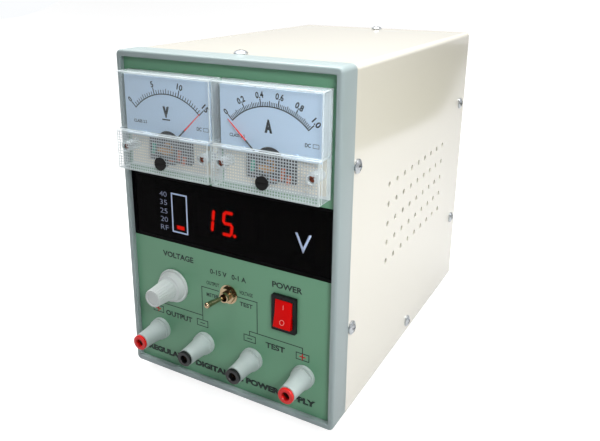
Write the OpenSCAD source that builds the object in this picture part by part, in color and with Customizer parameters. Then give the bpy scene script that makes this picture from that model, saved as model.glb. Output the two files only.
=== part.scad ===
// Bench DC power supply with two moving-coil panel meters, a three-digit display,
// a voltage knob, a meter selector toggle, a power rocker and four binding posts.
// Front faces -Y, up is +Z. Millimetres.

/* [Case] */
// width over the plastic front frame
case_w = 142; // [120:1:180]
// height of the front frame, without the feet
case_h = 201; // [180:1:240]
// depth from the frame's front to the cover's rear edge
case_d = 228; // [180:1:280]
// depth of the plastic front frame
frame_d = 17; // [12:0.5:25]
// how far the printed panel sits behind the frame's front
recess = 3.2; // [1:0.1:6]
// width of the frame's visible lip beside the panel
lip = 3.2; // [2:0.1:6]
// outer corner radius of the frame and cover
corner_r = 3; // [1:0.5:6]
// sheet steel thickness of the cover
sheet = 1; // [0.6:0.1:2]
// sheet steel thickness of the tray, bracket and rear panel
plate = 1.2; // [0.8:0.1:2]
// height of the rubber feet below the case
foot_h = 7; // [4:0.5:15]

/* [Vents and screws] */
// columns of vent holes on each side
vent_cols = 9; // [3:1:12]
// rows of vent holes on each side
vent_rows = 5; // [2:1:8]
// spacing of vent holes along the depth
vent_dx = 13.2; // [8:0.1:20]
// spacing of vent holes up the side
vent_dz = 12.35; // [8:0.05:20]
// radius of one vent hole
vent_r = 1.75; // [1:0.05:3]
// head radius of the M4 pan-head cover screws
screw_head_r = 4; // [3:0.1:5]
// head height of the M4 pan-head cover screws
screw_head_h = 2.4; // [2:0.1:4]

/* [Panel meters] */
// width of one meter's face
meter_w = 64; // [50:1:80]
// height of one meter's face
meter_h = 56; // [45:1:70]
// gap between the two meters
meter_gap = 1.8; // [0.5:0.1:6]
// height of the meters' lower edge above the case bottom
meter_z = 134.3; // [120:0.1:140]
// how far the upper window stands in front of the frame
window_out = 7.2; // [4:0.1:10]
// how far the lower block stands in front of the frame
block_out = 9.9; // [6:0.1:14]
// height of the lower block
block_h = 23; // [16:0.5:30]
// length of the needle from its pivot
needle_len = 33; // [25:0.5:34]
// angle of each end of the scale from upright
scale_half = 46; // [40:1:50]

/* [Display] */
// lower edge of the black display window
win_z0 = 88.4; // [80:0.1:100]
// upper edge of the black display window
win_z1 = 129.4; // [120:0.1:133]
// centre of the digit display, across
led_x = -2.2; // [-20:0.1:20]
// centre of the digit display, up
led_z = 106.5; // [95:0.1:120]
// centre of the bar display, across
bar_x = -33.2; // [-50:0.1:-25]

/* [Controls] */
// voltage knob centre, across
knob_x = -38.8; // [-50:0.1:-30]
// voltage knob centre, up
knob_z = 60.2; // [50:0.1:70]
// radius of the knob's skirt
skirt_r = 10.6; // [9:0.1:14]
// toggle switch centre, across
toggle_x = 1.3; // [-10:0.1:10]
// toggle switch centre, up
toggle_z = 64.7; // [55:0.1:75]
// lean of the toggle lever from straight, each way
toggle_lean = 11.5; // [8:0.5:15]
// rocker switch centre, across
rocker_x = 38.9; // [30:0.1:50]
// rocker switch centre, up
rocker_z = 63.3; // [55:0.1:75]
// rock of the power rocker from level, each way
rocker_lean = 10; // [6:0.5:14]

/* [Binding posts] */
// spacing of the four posts
post_dx = 34; // [19:0.5:40]
// height of the post row above the case bottom
post_z = 27.3; // [20:0.1:40]
// how far the coloured ring stands in front of the frame
post_out = 17.8; // [12:0.1:25]
// radius of the 4 mm banana socket bore
socket_r = 2; // [2:0.05:2.1]
// radius of the threaded stud
stud_r = 3; // [2.5:0.1:4]

/* [Rear] */
// heat sink width
sink_w = 78; // [50:1:110]
// heat sink height
sink_h = 104; // [60:1:130]
// heat sink depth behind the rear panel
sink_d = 21.6; // [12:0.1:35]
// heat sink centre, across
sink_x = 26; // [10:1:30]
// inlet and selector centre, across
inlet_x = -42; // [-50:1:-35]
// inlet centre, up
inlet_z = 40; // [30:1:60]
// voltage selector centre, up
selector_z = 86; // [75:1:110]

/* [Inside] */
// transformer centre, across
trafo_x = -31; // [-40:1:0]
// transformer centre, along the depth
trafo_y = 138; // [100:1:160]
// iron stack thickness of the transformer
stack = 38; // [20:1:50]
// main circuit board width
board_w = 54; // [40:1:70]
// main circuit board length
board_l = 130; // [80:1:150]
// height of the main board above the tray
board_up = 8; // [5:0.5:15]

/* [Hidden] */
$fn = 96;
hw = case_w / 2;
mid_y = (case_d + sink_d - post_out) / 2;
panel_y = recess;
overlay_t = 0.4;
panel_t = 1.5;
back_y = panel_y + overlay_t + panel_t;
cover_hw = hw - 0.5;
cover_top = case_h - 0.5;
cover_z0 = 1;
tray_z = cover_z0 + 0.2;
floor_z = tray_z + plate;
in_hw = cover_hw - sheet;
flange_hw = hw - 2.2;
rear_y = case_d - 2.2;
meter_x = (meter_w + meter_gap) / 2;
meter_top = meter_z + meter_h;
block_top = meter_z + block_h;
barrel_r = 26;
barrel_z = meter_z + 26.7;
pivot_z = meter_z + 13.9;
dial_y = -3;
needle_y = -4.65;
side_zs = [54.5, 148];
front_screw_y = 21.5;
rear_screw_y = 215.5;
posts = [-1.5 * post_dx, -0.5 * post_dx, 0.5 * post_dx, 1.5 * post_dx];
cap_y0 = panel_y - 2.65;
cap_y1 = 1.95 - post_out;
feet_xy = [[-54, 30], [54, 30], [-54, 205], [54, 205]];
sink_z = 56 + sink_h / 2;
trafo_z = floor_z + plate + 32.5;
board_x = 9 + board_w / 2;
board_y = 60 + board_l / 2;
board_z = floor_z + board_up;

// ---- helpers ----

// moves a piece from the front-of-frame datum to the row frame
module placed() {
  translate([0, -mid_y, foot_h]) children();
}

module box(a, b) {
  translate(a) cube([b[0] - a[0], b[1] - a[1], b[2] - a[2]]);
}

module rod_x(y, z, x0, x1, r) {
  translate([x0, y, z]) rotate([0, 90, 0]) cylinder(r = r, h = x1 - x0);
}

module rod_y(x, z, y0, y1, r) {
  translate([x, y0, z]) rotate([-90, 0, 0]) cylinder(r = r, h = y1 - y0);
}

module cone_y(x, z, y0, y1, r0, r1) {
  translate([x, y0, z]) rotate([-90, 0, 0]) cylinder(r1 = r0, r2 = r1, h = y1 - y0);
}

module rod_z(x, y, z0, z1, r) {
  translate([x, y, z0]) cylinder(r = r, h = z1 - z0);
}

// profile of radius against distance, turned about an axis along +Y
module turned_y(x, z, points) {
  translate([x, 0, z]) rotate([-90, 0, 0]) rotate_extrude() polygon(points);
}

// rectangle with four round corners, centred
module round_rect(w, h, r) {
  square([w - 2 * r, h], center = true);
  square([w, h - 2 * r], center = true);
  for (i = [-1, 1]) {
    for (j = [-1, 1]) {
      translate([i * (w / 2 - r), j * (h / 2 - r)]) circle(r = r);
    }
  }
}

// upright slab with round corners, from y0 to y1
module slab_y(x, z, w, h, r, y0, y1) {
  translate([x, y1, z]) rotate([90, 0, 0]) linear_extrude(height = y1 - y0) round_rect(w, h, r);
}

// pan-head screw with a cross recess, head seated at the origin, shank down -Z
module pan_screw(head_r, head_h, shank_r, shank_l) {
  difference() {
    intersection() {
      cylinder(r = head_r, h = head_h);
      translate([0, 0, head_h - head_r * 1.55]) sphere(r = head_r * 1.55);
    }
    for (a = [0, 90]) {
      rotate([0, 0, a]) {
        translate([-head_r * 0.55, -head_r * 0.1, head_h * 0.45]) {
          cube([head_r * 1.1, head_r * 0.2, head_h]);
        }
      }
    }
  }
  translate([0, 0, -shank_l]) cylinder(r = shank_r, h = shank_l + 0.01);
}

// hexagon nut about +Y, with a hole
module nut_y(x, z, y0, y1, across, hole_r) {
  translate([x, y0, z]) rotate([-90, 0, 0]) {
    difference() {
      cylinder(r = across / sqrt(3), h = y1 - y0, $fn = 6);
      translate([0, 0, -1]) cylinder(r = hole_r, h = y1 - y0 + 2);
    }
  }
}

// ---- case ----

module front_frame() color([0.74, 0.78, 0.79]) placed() {
  difference() {
    intersection() {
      slab_y(0, case_h / 2, case_w, case_h, corner_r, 0, frame_d);
      // front edges chamfered on all four sides
      translate([0, 0, -1]) linear_extrude(height = case_h + 2) {
        polygon([[-hw + 1.2, 0], [hw - 1.2, 0], [hw, 1.2], [hw, frame_d],
                 [-hw, frame_d], [-hw, 1.2]]);
      }
      translate([-hw - 1, 0, 0]) rotate([90, 0, 90]) linear_extrude(height = case_w + 2) {
        polygon([[0, 1.2], [1.2, 0], [frame_d, 0], [frame_d, case_h],
                 [1.2, case_h], [0, case_h - 1.2]]);
      }
    }
    // visible opening
    slab_y(0, case_h / 2, case_w - 2 * lip, case_h - 2 * lip - 0.8, 1, -1, panel_y + 1);
    // pocket that takes the panel and bracket from behind
    box([-hw + 2, panel_y, 2], [hw - 2, frame_d + 1, case_h - 2]);
  }
}

// outline of everything that passes through the metal panel
module panel_holes(y0, y1, grow) {
  for (s = [-1, 1]) {
    rod_y(s * meter_x, barrel_z, y0, y1, barrel_r + 0.3 + grow);
  }
  rod_y(knob_x, knob_z, y0, y1, 3.6 + grow);
  rod_y(toggle_x, toggle_z, y0, y1, 3.1 + grow);
  box([rocker_x - 6.6 - grow, y0, rocker_z - 9.7 - grow],
      [rocker_x + 6.6 + grow, y1, rocker_z + 9.7 + grow]);
  for (x = posts) {
    rod_y(x, post_z, y0, y1, 4.1 + grow);
  }
}

module front_panel() color([0.72, 0.73, 0.74]) placed() {
  difference() {
    box([-hw + 2.2, panel_y + overlay_t, 2.2], [hw - 2.2, back_y, case_h - 2.2]);
    panel_holes(panel_y, back_y + 1, 0);
    // opening behind the display window
    box([-hw + 5.2, panel_y, win_z0 + 2], [hw - 5.2, back_y + 1, win_z1 - 2]);
  }
}

module panel_overlay() color([0.42, 0.62, 0.51]) placed() {
  difference() {
    box([-hw + 2.2, panel_y, 2.2], [hw - 2.2, panel_y + overlay_t, case_h - 2.2]);
    box([-hw, panel_y - 1, win_z0], [hw, panel_y + 1, win_z1]);
    panel_holes(panel_y - 1, panel_y + 1, 0.1);
  }
}

module display_window() color([0.03, 0.03, 0.035, 0.8]) placed() {
  difference() {
    union() {
      box([-hw + 2.2, panel_y, win_z0 + 0.1], [hw - 2.2, panel_y + overlay_t, win_z1 - 0.1]);
      box([-hw + 5.4, panel_y + overlay_t, win_z0 + 2.2], [hw - 5.4, back_y, win_z1 - 2.2]);
    }
  }
}

module front_bracket() color([0.7, 0.71, 0.72]) placed() {
  difference() {
    union() {
      difference() {
        box([-flange_hw, back_y + 0.1, floor_z], [flange_hw, back_y + 0.1 + plate, case_h - 2.4]);
        box([-hw + 9.2, 0, 10], [hw - 9.2, frame_d, case_h - 8.5]);
      }
      for (s = [-1, 1]) {
        box([s > 0 ? flange_hw - plate : -flange_hw, back_y + 0.1, 20],
            [s > 0 ? flange_hw : -flange_hw + plate, 29.5, 185]);
      }
      box([-55, back_y + 0.1, case_h - 2.4 - plate], [55, 29.5, case_h - 2.4]);
      box([-60, back_y + 0.1, floor_z], [60, 29.5, floor_z + plate]);
    }
    for (z = side_zs) {
      rod_x(front_screw_y, z, -hw, hw, 1.95);
    }
    rod_z(0, front_screw_y, case_h - 10, case_h, 1.95);
    for (s = [-1, 1]) {
      rod_z(s * 40, 24, 0, 8, 1.5);
      rod_z(s * 54, 30, 0, 8, 4);
    }
  }
}

module chassis_tray() color([0.7, 0.71, 0.72]) placed() {
  difference() {
    union() {
      box([-in_hw + 0.3, 17.5, tray_z], [in_hw - 0.3, rear_y, floor_z]);
      for (s = [-1, 1]) {
        box([s > 0 ? in_hw - 0.3 - plate : -in_hw + 0.3, 40, floor_z - 0.01],
            [s > 0 ? in_hw - 0.3 : -in_hw + 0.3 + plate, 205, 16]);
      }
    }
    rod_x(120, 8.7, -hw, hw, 1.95);
    for (p = feet_xy) {
      rod_z(p[0], p[1], 0, 4, 1.5);
    }
    for (s = [-1, 1]) {
      rod_z(s * 40, 24, 0, 4, 1.7);
      rod_z(s * 40, 214, 0, 4, 1.7);
      for (t = [-1, 1]) {
        rod_z(trafo_x + s * 15, trafo_y + t * 45, 0, 4, 1.5);
        rod_z(board_x + s * (board_w / 2 - 4), board_y + t * (board_l / 2 - 4), 0, 4, 1.5);
      }
    }
    // vent slots under the transformer
    for (i = [-3:3]) {
      box([trafo_x - 14, trafo_y + i * 8 - 1.5, 0], [trafo_x + 14, trafo_y + i * 8 + 1.5, 4]);
    }
  }
}

module rear_panel() color([0.7, 0.71, 0.72]) placed() {
  top = cover_top - sheet - 0.3;
  difference() {
    union() {
      box([-in_hw + 0.3, rear_y, tray_z], [in_hw - 0.3, rear_y + plate, top]);
      for (s = [-1, 1]) {
        box([s > 0 ? flange_hw - plate : -flange_hw, 208, 20],
            [s > 0 ? flange_hw : -flange_hw + plate, rear_y + 0.01, 185]);
      }
      box([-55, 208, top - plate], [55, rear_y + 0.01, top]);
      box([-60, 208, floor_z], [60, rear_y + 0.01, floor_z + plate]);
    }
    for (z = side_zs) {
      rod_x(rear_screw_y, z, -hw, hw, 1.95);
    }
    rod_z(0, rear_screw_y, case_h - 10, case_h, 1.95);
    for (s = [-1, 1]) {
      rod_z(s * 40, 214, 0, 8, 1.5);
    }
    for (s = [-1, 1]) {
      // foot screws pass below the flange
      rod_z(s * 54, 205, 0, 8, 4);
      rod_z(s * 54, 212, 0, 8, 4);
    }
    // inlet and selector cut-outs
    box([inlet_x - 13.8, rear_y - 1, inlet_z - 16.8], [inlet_x + 13.8, case_d, inlet_z + 16.8]);
    box([inlet_x - 12.2, rear_y - 1, selector_z - 6.7], [inlet_x + 12.2, case_d, selector_z + 6.7]);
    for (s = [-1, 1]) {
      rod_y(inlet_x + s * 15, selector_z, rear_y - 1, case_d, 1.5);
    }
    // transistor pins and sink screws
    for (s = [-1, 1]) {
      rod_y(sink_x + s * 5.45, sink_z - 1.9, rear_y - 1, case_d, 2.6);
      rod_y(sink_x + s * 30, sink_z - 44, rear_y - 1, case_d, 1.5);
      rod_y(sink_x + s * 30, sink_z + 44, rear_y - 1, case_d, 1.5);
    }
    // air slots
    for (i = [0:4]) {
      box([-58 + i * 9, rear_y - 1, 112], [-54.5 + i * 9, case_d, 152]);
    }
  }
}

module cover() color([0.91, 0.9, 0.86]) placed() {
  difference() {
    translate([0, case_d, 0]) rotate([90, 0, 0]) {
      linear_extrude(height = case_d - frame_d - 0.3) {
        difference() {
          union() {
            translate([-cover_hw, cover_z0]) square([2 * cover_hw, cover_top - cover_z0 - corner_r]);
            translate([-cover_hw + corner_r, cover_top - corner_r]) {
              square([2 * (cover_hw - corner_r), corner_r]);
            }
            for (s = [-1, 1]) {
              translate([s * (cover_hw - corner_r), cover_top - corner_r]) circle(r = corner_r);
            }
          }
          translate([-in_hw, 0]) square([2 * in_hw, cover_top - corner_r]);
          translate([-cover_hw + corner_r, cover_top - corner_r - 0.01]) {
            square([2 * (cover_hw - corner_r), corner_r - sheet + 0.01]);
          }
          for (s = [-1, 1]) {
            translate([s * (cover_hw - corner_r), cover_top - corner_r]) {
              circle(r = corner_r - sheet);
            }
          }
        }
      }
    }
    for (i = [0:vent_cols - 1]) {
      for (j = [0:vent_rows - 1]) {
        rod_x(71.2 + i * vent_dx, 74.5 + j * vent_dz, -hw, hw, vent_r);
      }
    }
    for (z = side_zs) {
      rod_x(front_screw_y, z, -hw, hw, 2.2);
      rod_x(rear_screw_y, z, -hw, hw, 2.2);
    }
    rod_x(120, 8.7, -hw, hw, 2.2);
    rod_z(0, front_screw_y, case_h - 5, case_h, 2.2);
    rod_z(0, rear_screw_y, case_h - 5, case_h, 2.2);
  }
}

module cover_screw() {
  pan_screw(screw_head_r, screw_head_h, 1.9, 7);
}

module cover_screws() color([0.78, 0.8, 0.82]) placed() {
  for (s = [-1, 1]) {
    for (z = side_zs) {
      for (y = [front_screw_y, rear_screw_y]) {
        translate([s * cover_hw, y, z]) rotate([0, s * 90, 0]) rotate([0, 0, z + y]) cover_screw();
      }
    }
    translate([s * cover_hw, 120, 8.7]) rotate([0, s * 90, 0]) rotate([0, 0, 25]) cover_screw();
  }
  for (y = [front_screw_y, rear_screw_y]) {
    translate([0, y, cover_top]) rotate([0, 0, y]) cover_screw();
  }
}

module feet() color([0.09, 0.09, 0.09]) placed() {
  for (p = feet_xy) {
    translate([p[0], p[1], -foot_h]) difference() {
      cylinder(r1 = 7.2, r2 = 8, h = foot_h + tray_z);
      translate([0, 0, -1]) cylinder(r = 3.9, h = 4.5);
      cylinder(r = 1.7, h = 20);
    }
  }
}

module chassis_screw(l) {
  pan_screw(2.8, 2, 1.45, l);
}

module chassis_screws() color([0.76, 0.78, 0.8]) placed() {
  // foot screws, up through the tray
  for (p = feet_xy) {
    translate([p[0], p[1], -foot_h + 3.5]) rotate([180, 0, 0]) chassis_screw(8);
  }
  // bracket and rear panel to the tray
  for (s = [-1, 1]) {
    for (y = [24, 214]) {
      translate([s * 40, y, tray_z]) rotate([180, 0, 0]) chassis_screw(5);
    }
  }
  // transformer feet and main board
  for (s = [-1, 1]) {
    for (t = [-1, 1]) {
      translate([trafo_x + s * 15, trafo_y + t * 45, floor_z + plate + 0.01]) chassis_screw(5);
      translate([board_x + s * (board_w / 2 - 4), board_y + t * (board_l / 2 - 4), board_z + 1.6]) {
        chassis_screw(7);
      }
    }
  }
  // selector, sink corners and transistor ears, from behind the case
  for (s = [-1, 1]) {
    translate([inlet_x + s * 15, rear_y + plate + 1, selector_z]) {
      rotate([-90, 0, 0]) chassis_screw(5);
    }
    translate([sink_x + s * 15.1, rear_y + plate + 3.5 + 1.6, sink_z]) {
      rotate([-90, 0, 0]) chassis_screw(4);
    }
    for (t = [-1, 1]) {
      translate([sink_x + s * 30, rear_y, sink_z + t * 44]) {
        rotate([90, 0, 0]) chassis_screw(3.5);
      }
    }
  }
}

// ---- panel meters, drawn about the meter's centre line x = 0 ----

module meter_cover() color([0.86, 0.9, 0.92, 0.3]) {
  w = meter_w / 2;
  difference() {
    union() {
      box([-w, -window_out, meter_z], [w, 1.9, meter_top]);
      box([-w, -block_out, meter_z], [w, 1.9, block_top]);
    }
    // space behind the upper window
    box([-w + 1.5, -window_out + 1.5, block_top - 1.5], [w - 1.5, 3, meter_top - 1.5]);
    // space behind the lower block
    box([-w + 1.5, -block_out + 1.5, meter_z + 1.5], [w - 1.5, 3, block_top - 1.5]);
    rod_y(0, meter_z + 7.3, -20, 0, 2.2);
    for (s = [-1, 1]) {
      rod_y(s * 26.9, meter_z + 13.1, -20, 0, 2.2);
    }
  }
  // screw bosses
  for (s = [-1, 1]) {
    difference() {
      rod_y(s * 26.9, meter_z + 13.1, -block_out + 1.49, 1.9, 3.2);
      rod_y(s * 26.9, meter_z + 13.1, -20, -5.9, 2.2);
      rod_y(s * 26.9, meter_z + 13.1, -20, 3, 1.1);
    }
  }
}

module meter_base() color([0.8, 0.83, 0.83]) {
  w = meter_w / 2;
  difference() {
    union() {
      box([-w, 2, meter_z], [w, panel_y, meter_top]);
      rod_y(0, barrel_z, panel_y - 0.01, 34, barrel_r);
    }
    rod_y(0, barrel_z, 0, 32, barrel_r - 1.6);
    for (s = [-1, 1]) {
      rod_y(s * 26.9, meter_z + 13.1, 0, 5, 0.95);
      rod_y(s * 12, barrel_z, 30, 36, 2.05);
    }
  }
}

module meter_dial() color([0.8, 0.88, 0.94]) {
  difference() {
    union() {
      box([-29.8, dial_y, block_top - 3.4], [29.8, dial_y + 0.6, meter_top - 1.8]);
      // legs that stand the dial off the base
      for (s = [-1, 1]) {
        rod_y(s * 15.9, block_top - 1.8, dial_y + 0.59, 32, 1.2);
      }
    }
    rod_y(0, pivot_z + 1.2, dial_y - 1, dial_y + 2, 9.2);
  }
  // pillars and limit stops on the dial's face
  for (s = [-1, 1]) {
    rod_y(s * 15.9, block_top - 1.8, dial_y - 0.6, dial_y, 1.5);
  }
}

module meter_movement() color([0.08, 0.08, 0.08]) {
  difference() {
    union() {
      rod_y(0, pivot_z + 1.2, dial_y - 0.5, 20, 8.8);
      // yoke arms
      box([-14, 6, pivot_z - 5], [14, 12, pivot_z + 3]);
      rod_y(0, pivot_z + 1.2, 20, 31.9, 3);
    }
    rod_y(0, pivot_z, dial_y - 2, 8, 2.6);
  }
}

// needle upright, then turned by the given angle (positive to the right)
module meter_needle(angle) color([0.85, 0.16, 0.12]) {
  translate([0, 0, pivot_z]) rotate([0, angle, 0]) {
    rod_y(0, 0, needle_y - 0.2, needle_y + 0.9, 1.7);
    rod_y(0, 0, needle_y + 0.89, 6.5, 0.6);
    translate([0, needle_y + 0.2, 0]) rotate([90, 0, 0]) linear_extrude(height = 0.4) {
      polygon([[-0.55, 1.5], [0.55, 1.5], [0.3, 16], [0.4, 17], [0.12, needle_len],
               [-0.12, needle_len], [-0.4, 17], [-0.3, 16]]);
      // counterweights
      polygon([[-0.7, -1.5], [0.7, -1.5], [0.9, -6], [-0.9, -6]]);
      polygon([[1.5, -0.4], [1.5, 0.4], [4.5, 0.5], [4.5, -0.5]]);
      polygon([[-1.5, -0.4], [-1.5, 0.4], [-4.5, 0.5], [-4.5, -0.5]]);
    }
  }
}

module meter_zero() color([0.03, 0.03, 0.03]) {
  difference() {
    rod_y(0, meter_z + 7.3, -block_out - 1.3, -block_out - 0.4, 3.7);
    box([-2.9, -block_out - 2, meter_z + 6.95], [2.9, -block_out - 0.9, meter_z + 7.65]);
  }
  rod_y(0, meter_z + 7.3, -block_out - 0.41, -block_out + 2.2, 1.8);
  rod_y(0, meter_z + 7.3, -block_out + 2.19, -block_out + 3, 3);
  // eccentric pin that moves the spring arm
  rod_y(1.2, meter_z + 7.3, -block_out + 2.99, -block_out + 4.6, 0.5);
}

module at_meter(s) {
  placed() translate([s * meter_x, 0, 0]) children();
}

module voltmeter_cover() at_meter(-1) meter_cover();
module voltmeter_base() at_meter(-1) meter_base();
module voltmeter_dial() at_meter(-1) meter_dial();
module voltmeter_movement() at_meter(-1) meter_movement();
module voltmeter_needle() at_meter(-1) meter_needle(scale_half);
module voltmeter_zero() at_meter(-1) meter_zero();
module ammeter_cover() at_meter(1) meter_cover();
module ammeter_base() at_meter(1) meter_base();
module ammeter_dial() at_meter(1) meter_dial();
module ammeter_movement() at_meter(1) meter_movement();
module ammeter_needle() at_meter(1) meter_needle(-scale_half - 1);
module ammeter_zero() at_meter(1) meter_zero();

module meter_screws() color([0.6, 0.4, 0.25]) {
  for (m = [-1, 1]) {
    for (s = [-1, 1]) {
      at_meter(m) translate([s * 26.9, -5.9, meter_z + 13.1]) rotate([90, 0, 0]) {
        difference() {
          cylinder(r = 1.9, h = 1.3);
          translate([-2, -0.25, 0.7]) cube([4, 0.5, 1]);
        }
        translate([0, 0, -9]) cylinder(r = 0.9, h = 9.01);
      }
    }
  }
}

module meter_studs() color([0.78, 0.62, 0.32]) {
  for (m = [-1, 1]) {
    for (s = [-1, 1]) {
      at_meter(m) {
        rod_y(s * 12, barrel_z, 33, 45, 2);
        nut_y(s * 12, barrel_z, 34.1, 37.3, 7, 2.02);
        nut_y(s * 12, barrel_z, 38.5, 41.7, 7, 2.02);
      }
    }
  }
}

// ---- voltage knob and potentiometer ----

module voltage_knob() color([0.8, 0.82, 0.81]) placed() {
  difference() {
    turned_y(knob_x, knob_z, [
      [0, -17.3], [4.9, -17.3], [5.5, -16.7], [6.6, -3.2], [7, -3.2], [7.2, -2.9],
      [8.1, -2.9], [8.5, -2.5], [9.3, 0.9], [skirt_r - 0.3, 1.1], [skirt_r, 1.4], [skirt_r, 2.8],
      [7.6, 2.8], [7.6, -1.4], [0, -1.4]]);
    // flutes along the tapered grip
    translate([knob_x, 0, knob_z]) rotate([-90, 0, 0]) {
      for (a = [0:15:345]) {
        rotate([0, 0, a]) translate([5.45, 0, -19]) rotate([0, 4.7, 0]) {
          cylinder(r = 0.5, h = 15.4, $fn = 24);
        }
      }
    }
    // ring groove round the end disc
    turned_y(knob_x, knob_z, [[4.1, -18], [4.5, -18], [4.5, -17], [4.1, -17]]);
    rod_y(knob_x, knob_z, -14, 0, 3.02);
  }
}

module pot_shaft() color([0.75, 0.76, 0.78]) placed() {
  rod_y(knob_x, knob_z, -13.9, 10, 3);
}

module pot_body() color([0.55, 0.57, 0.58]) placed() {
  difference() {
    union() {
      rod_y(knob_x, knob_z, -0.5, back_y + 0.9, 3.5);
      rod_y(knob_x, knob_z, back_y + 0.1, back_y + 0.9, 6);
      rod_y(knob_x, knob_z, back_y + 0.89, 15.5, 8.5);
      box([knob_x - 7, 9, knob_z - 13], [knob_x + 7, 11, knob_z - 4]);
    }
    rod_y(knob_x, knob_z, -2, 10.4, 3.06);
  }
}

// ---- toggle switch ----

module toggle_lever() color([0.8, 0.72, 0.5]) placed() {
  translate([toggle_x, 1.5, toggle_z]) rotate([0, 0, -toggle_lean]) {
    sphere(r = 1.95);
    cone_y(0, 0, -15.2, -5, 1.8, 1.2);
    cone_y(0, 0, -5, 0, 1.2, 1.05);
    translate([0, -15.2, 0]) sphere(r = 1.8);
    cone_y(0, 0, 0, 6.5, 1.05, 0.9);
  }
}

module toggle_bushing() color([0.8, 0.78, 0.7]) placed() {
  difference() {
    union() {
      rod_y(toggle_x, toggle_z, -2.3, back_y + 0.6, 3);
      box([toggle_x - 6.6, back_y + 0.1, toggle_z - 4], [toggle_x + 6.6, back_y + 0.6, toggle_z + 4]);
    }
    rod_y(toggle_x, toggle_z, -3, back_y + 2, 2.3);
  }
}

module toggle_body() color([0.12, 0.2, 0.5]) placed() {
  difference() {
    box([toggle_x - 6.6, back_y + 0.6, toggle_z - 4], [toggle_x + 6.6, 15.5, toggle_z + 4]);
    box([toggle_x - 4.4, back_y, toggle_z - 2.3], [toggle_x + 4.4, 10, toggle_z + 2.3]);
  }
}

// ---- power rocker ----

module rocker_frame() color([0.04, 0.04, 0.04]) placed() {
  difference() {
    union() {
      slab_y(rocker_x, rocker_z, 15.4, 21.7, 0.8, 1.1, panel_y);
      box([rocker_x - 6.4, panel_y - 0.01, rocker_z - 9.5], [rocker_x + 6.4, 17, rocker_z + 9.5]);
      // snap ears behind the panel
      for (s = [-1, 1]) {
        box([rocker_x - 3, back_y + 0.1, rocker_z + s * 9.9 - 0.5],
            [rocker_x + 3, 9, rocker_z + s * 9.9 + 0.5]);
      }
    }
    box([rocker_x - 5.7, 0, rocker_z - 8.45], [rocker_x + 5.7, 13, rocker_z + 8.45]);
  }
}

module rocker_button() color([0.8, 0.05, 0.05]) placed() {
  translate([rocker_x, 1.8, rocker_z]) rotate([-rocker_lean, 0, 0]) {
    difference() {
      intersection() {
        rod_x(0, 0, -5.35, 5.35, 8.1);
        translate([-6, 0, 0]) rotate([90, 0, 90]) linear_extrude(height = 12) {
          polygon([[-2.1, 9], [-1.3, 0], [-2.1, -9], [4.5, -9], [4.5, 9]]);
        }
      }
      // hollow back
      box([-4.2, 1.5, -6], [4.2, 9, 6]);
    }
    rod_x(1.2, 0, -4.21, 4.21, 1.1);
  }
}

// ---- binding posts ----

// grey cap that screws along the stud, with its flared foot and straight bore
module post_cap(x) color([0.79, 0.81, 0.81]) placed() {
  difference() {
    turned_y(x, post_z, [
      [3.4, cap_y0], [6.5, cap_y0], [6.6, cap_y0 - 0.3], [6.6, cap_y0 - 1.3],
      [6.35, cap_y0 - 1.5], [5.95, cap_y0 - 2.6], [5.6, cap_y0 - 4.4], [5.3, cap_y0 - 7],
      [5.05, cap_y0 - 10.5], [4.85, cap_y1], [3.4, cap_y1]]);
    rod_y(x, post_z, cap_y1 - 1, cap_y0 - 3, 3.95);
    // grip lines on the flared foot
    translate([x, 0, post_z]) rotate([-90, 0, 0]) {
      for (a = [0:30:330]) {
        rotate([0, 0, a]) translate([6.75, 0, cap_y0 - 3]) cylinder(r = 0.3, h = 4, $fn = 16);
      }
    }
  }
}

// coloured ring at the cap's mouth with the sleeve that carries it
module post_ring(x, c) color(c) placed() {
  turned_y(x, post_z, [
    [2.35, -post_out + 0.3], [2.6, -post_out], [4.3, -post_out], [4.6, -post_out + 0.3],
    [4.6, -post_out + 1.6], [3.65, -post_out + 1.6], [3.65, cap_y0 - 3.4],
    [3.35, cap_y0 - 3.4], [3.35, -post_out + 1.6], [2.35, -post_out + 1.6]]);
}

module output_plus_cap() post_cap(posts[0]);
module output_minus_cap() post_cap(posts[1]);
module test_minus_cap() post_cap(posts[2]);
module test_plus_cap() post_cap(posts[3]);
module output_plus_ring() post_ring(posts[0], [0.85, 0.05, 0.05]);
module output_minus_ring() post_ring(posts[1], [0.03, 0.03, 0.03]);
module test_minus_ring() post_ring(posts[2], [0.03, 0.03, 0.03]);
module test_plus_ring() post_ring(posts[3], [0.85, 0.05, 0.05]);

module post_flanges() color([0.74, 0.76, 0.77]) placed() {
  for (x = posts) {
    // front flange with a neck in the panel hole
    turned_y(x, post_z, [
      [3.05, cap_y0 + 0.35], [6.6, cap_y0 + 0.35], [6.9, cap_y0 + 0.7], [6.9, panel_y],
      [4, panel_y], [4, back_y], [3.05, back_y]]);
    // rear insulator
    turned_y(x, post_z, [[3.05, back_y], [6.9, back_y], [6.9, back_y + 3], [3.05, back_y + 3]]);
  }
}

module post_studs() color([0.82, 0.68, 0.36]) placed() {
  for (x = posts) {
    difference() {
      rod_y(x, post_z, 3.2 - post_out, 24, stud_r);
      rod_y(x, post_z, -post_out, -3, socket_r);
      // cross hole for bare wire
      rod_z(x, -1.2, post_z - 5, post_z + 5, 0.9);
    }
  }
}

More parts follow.
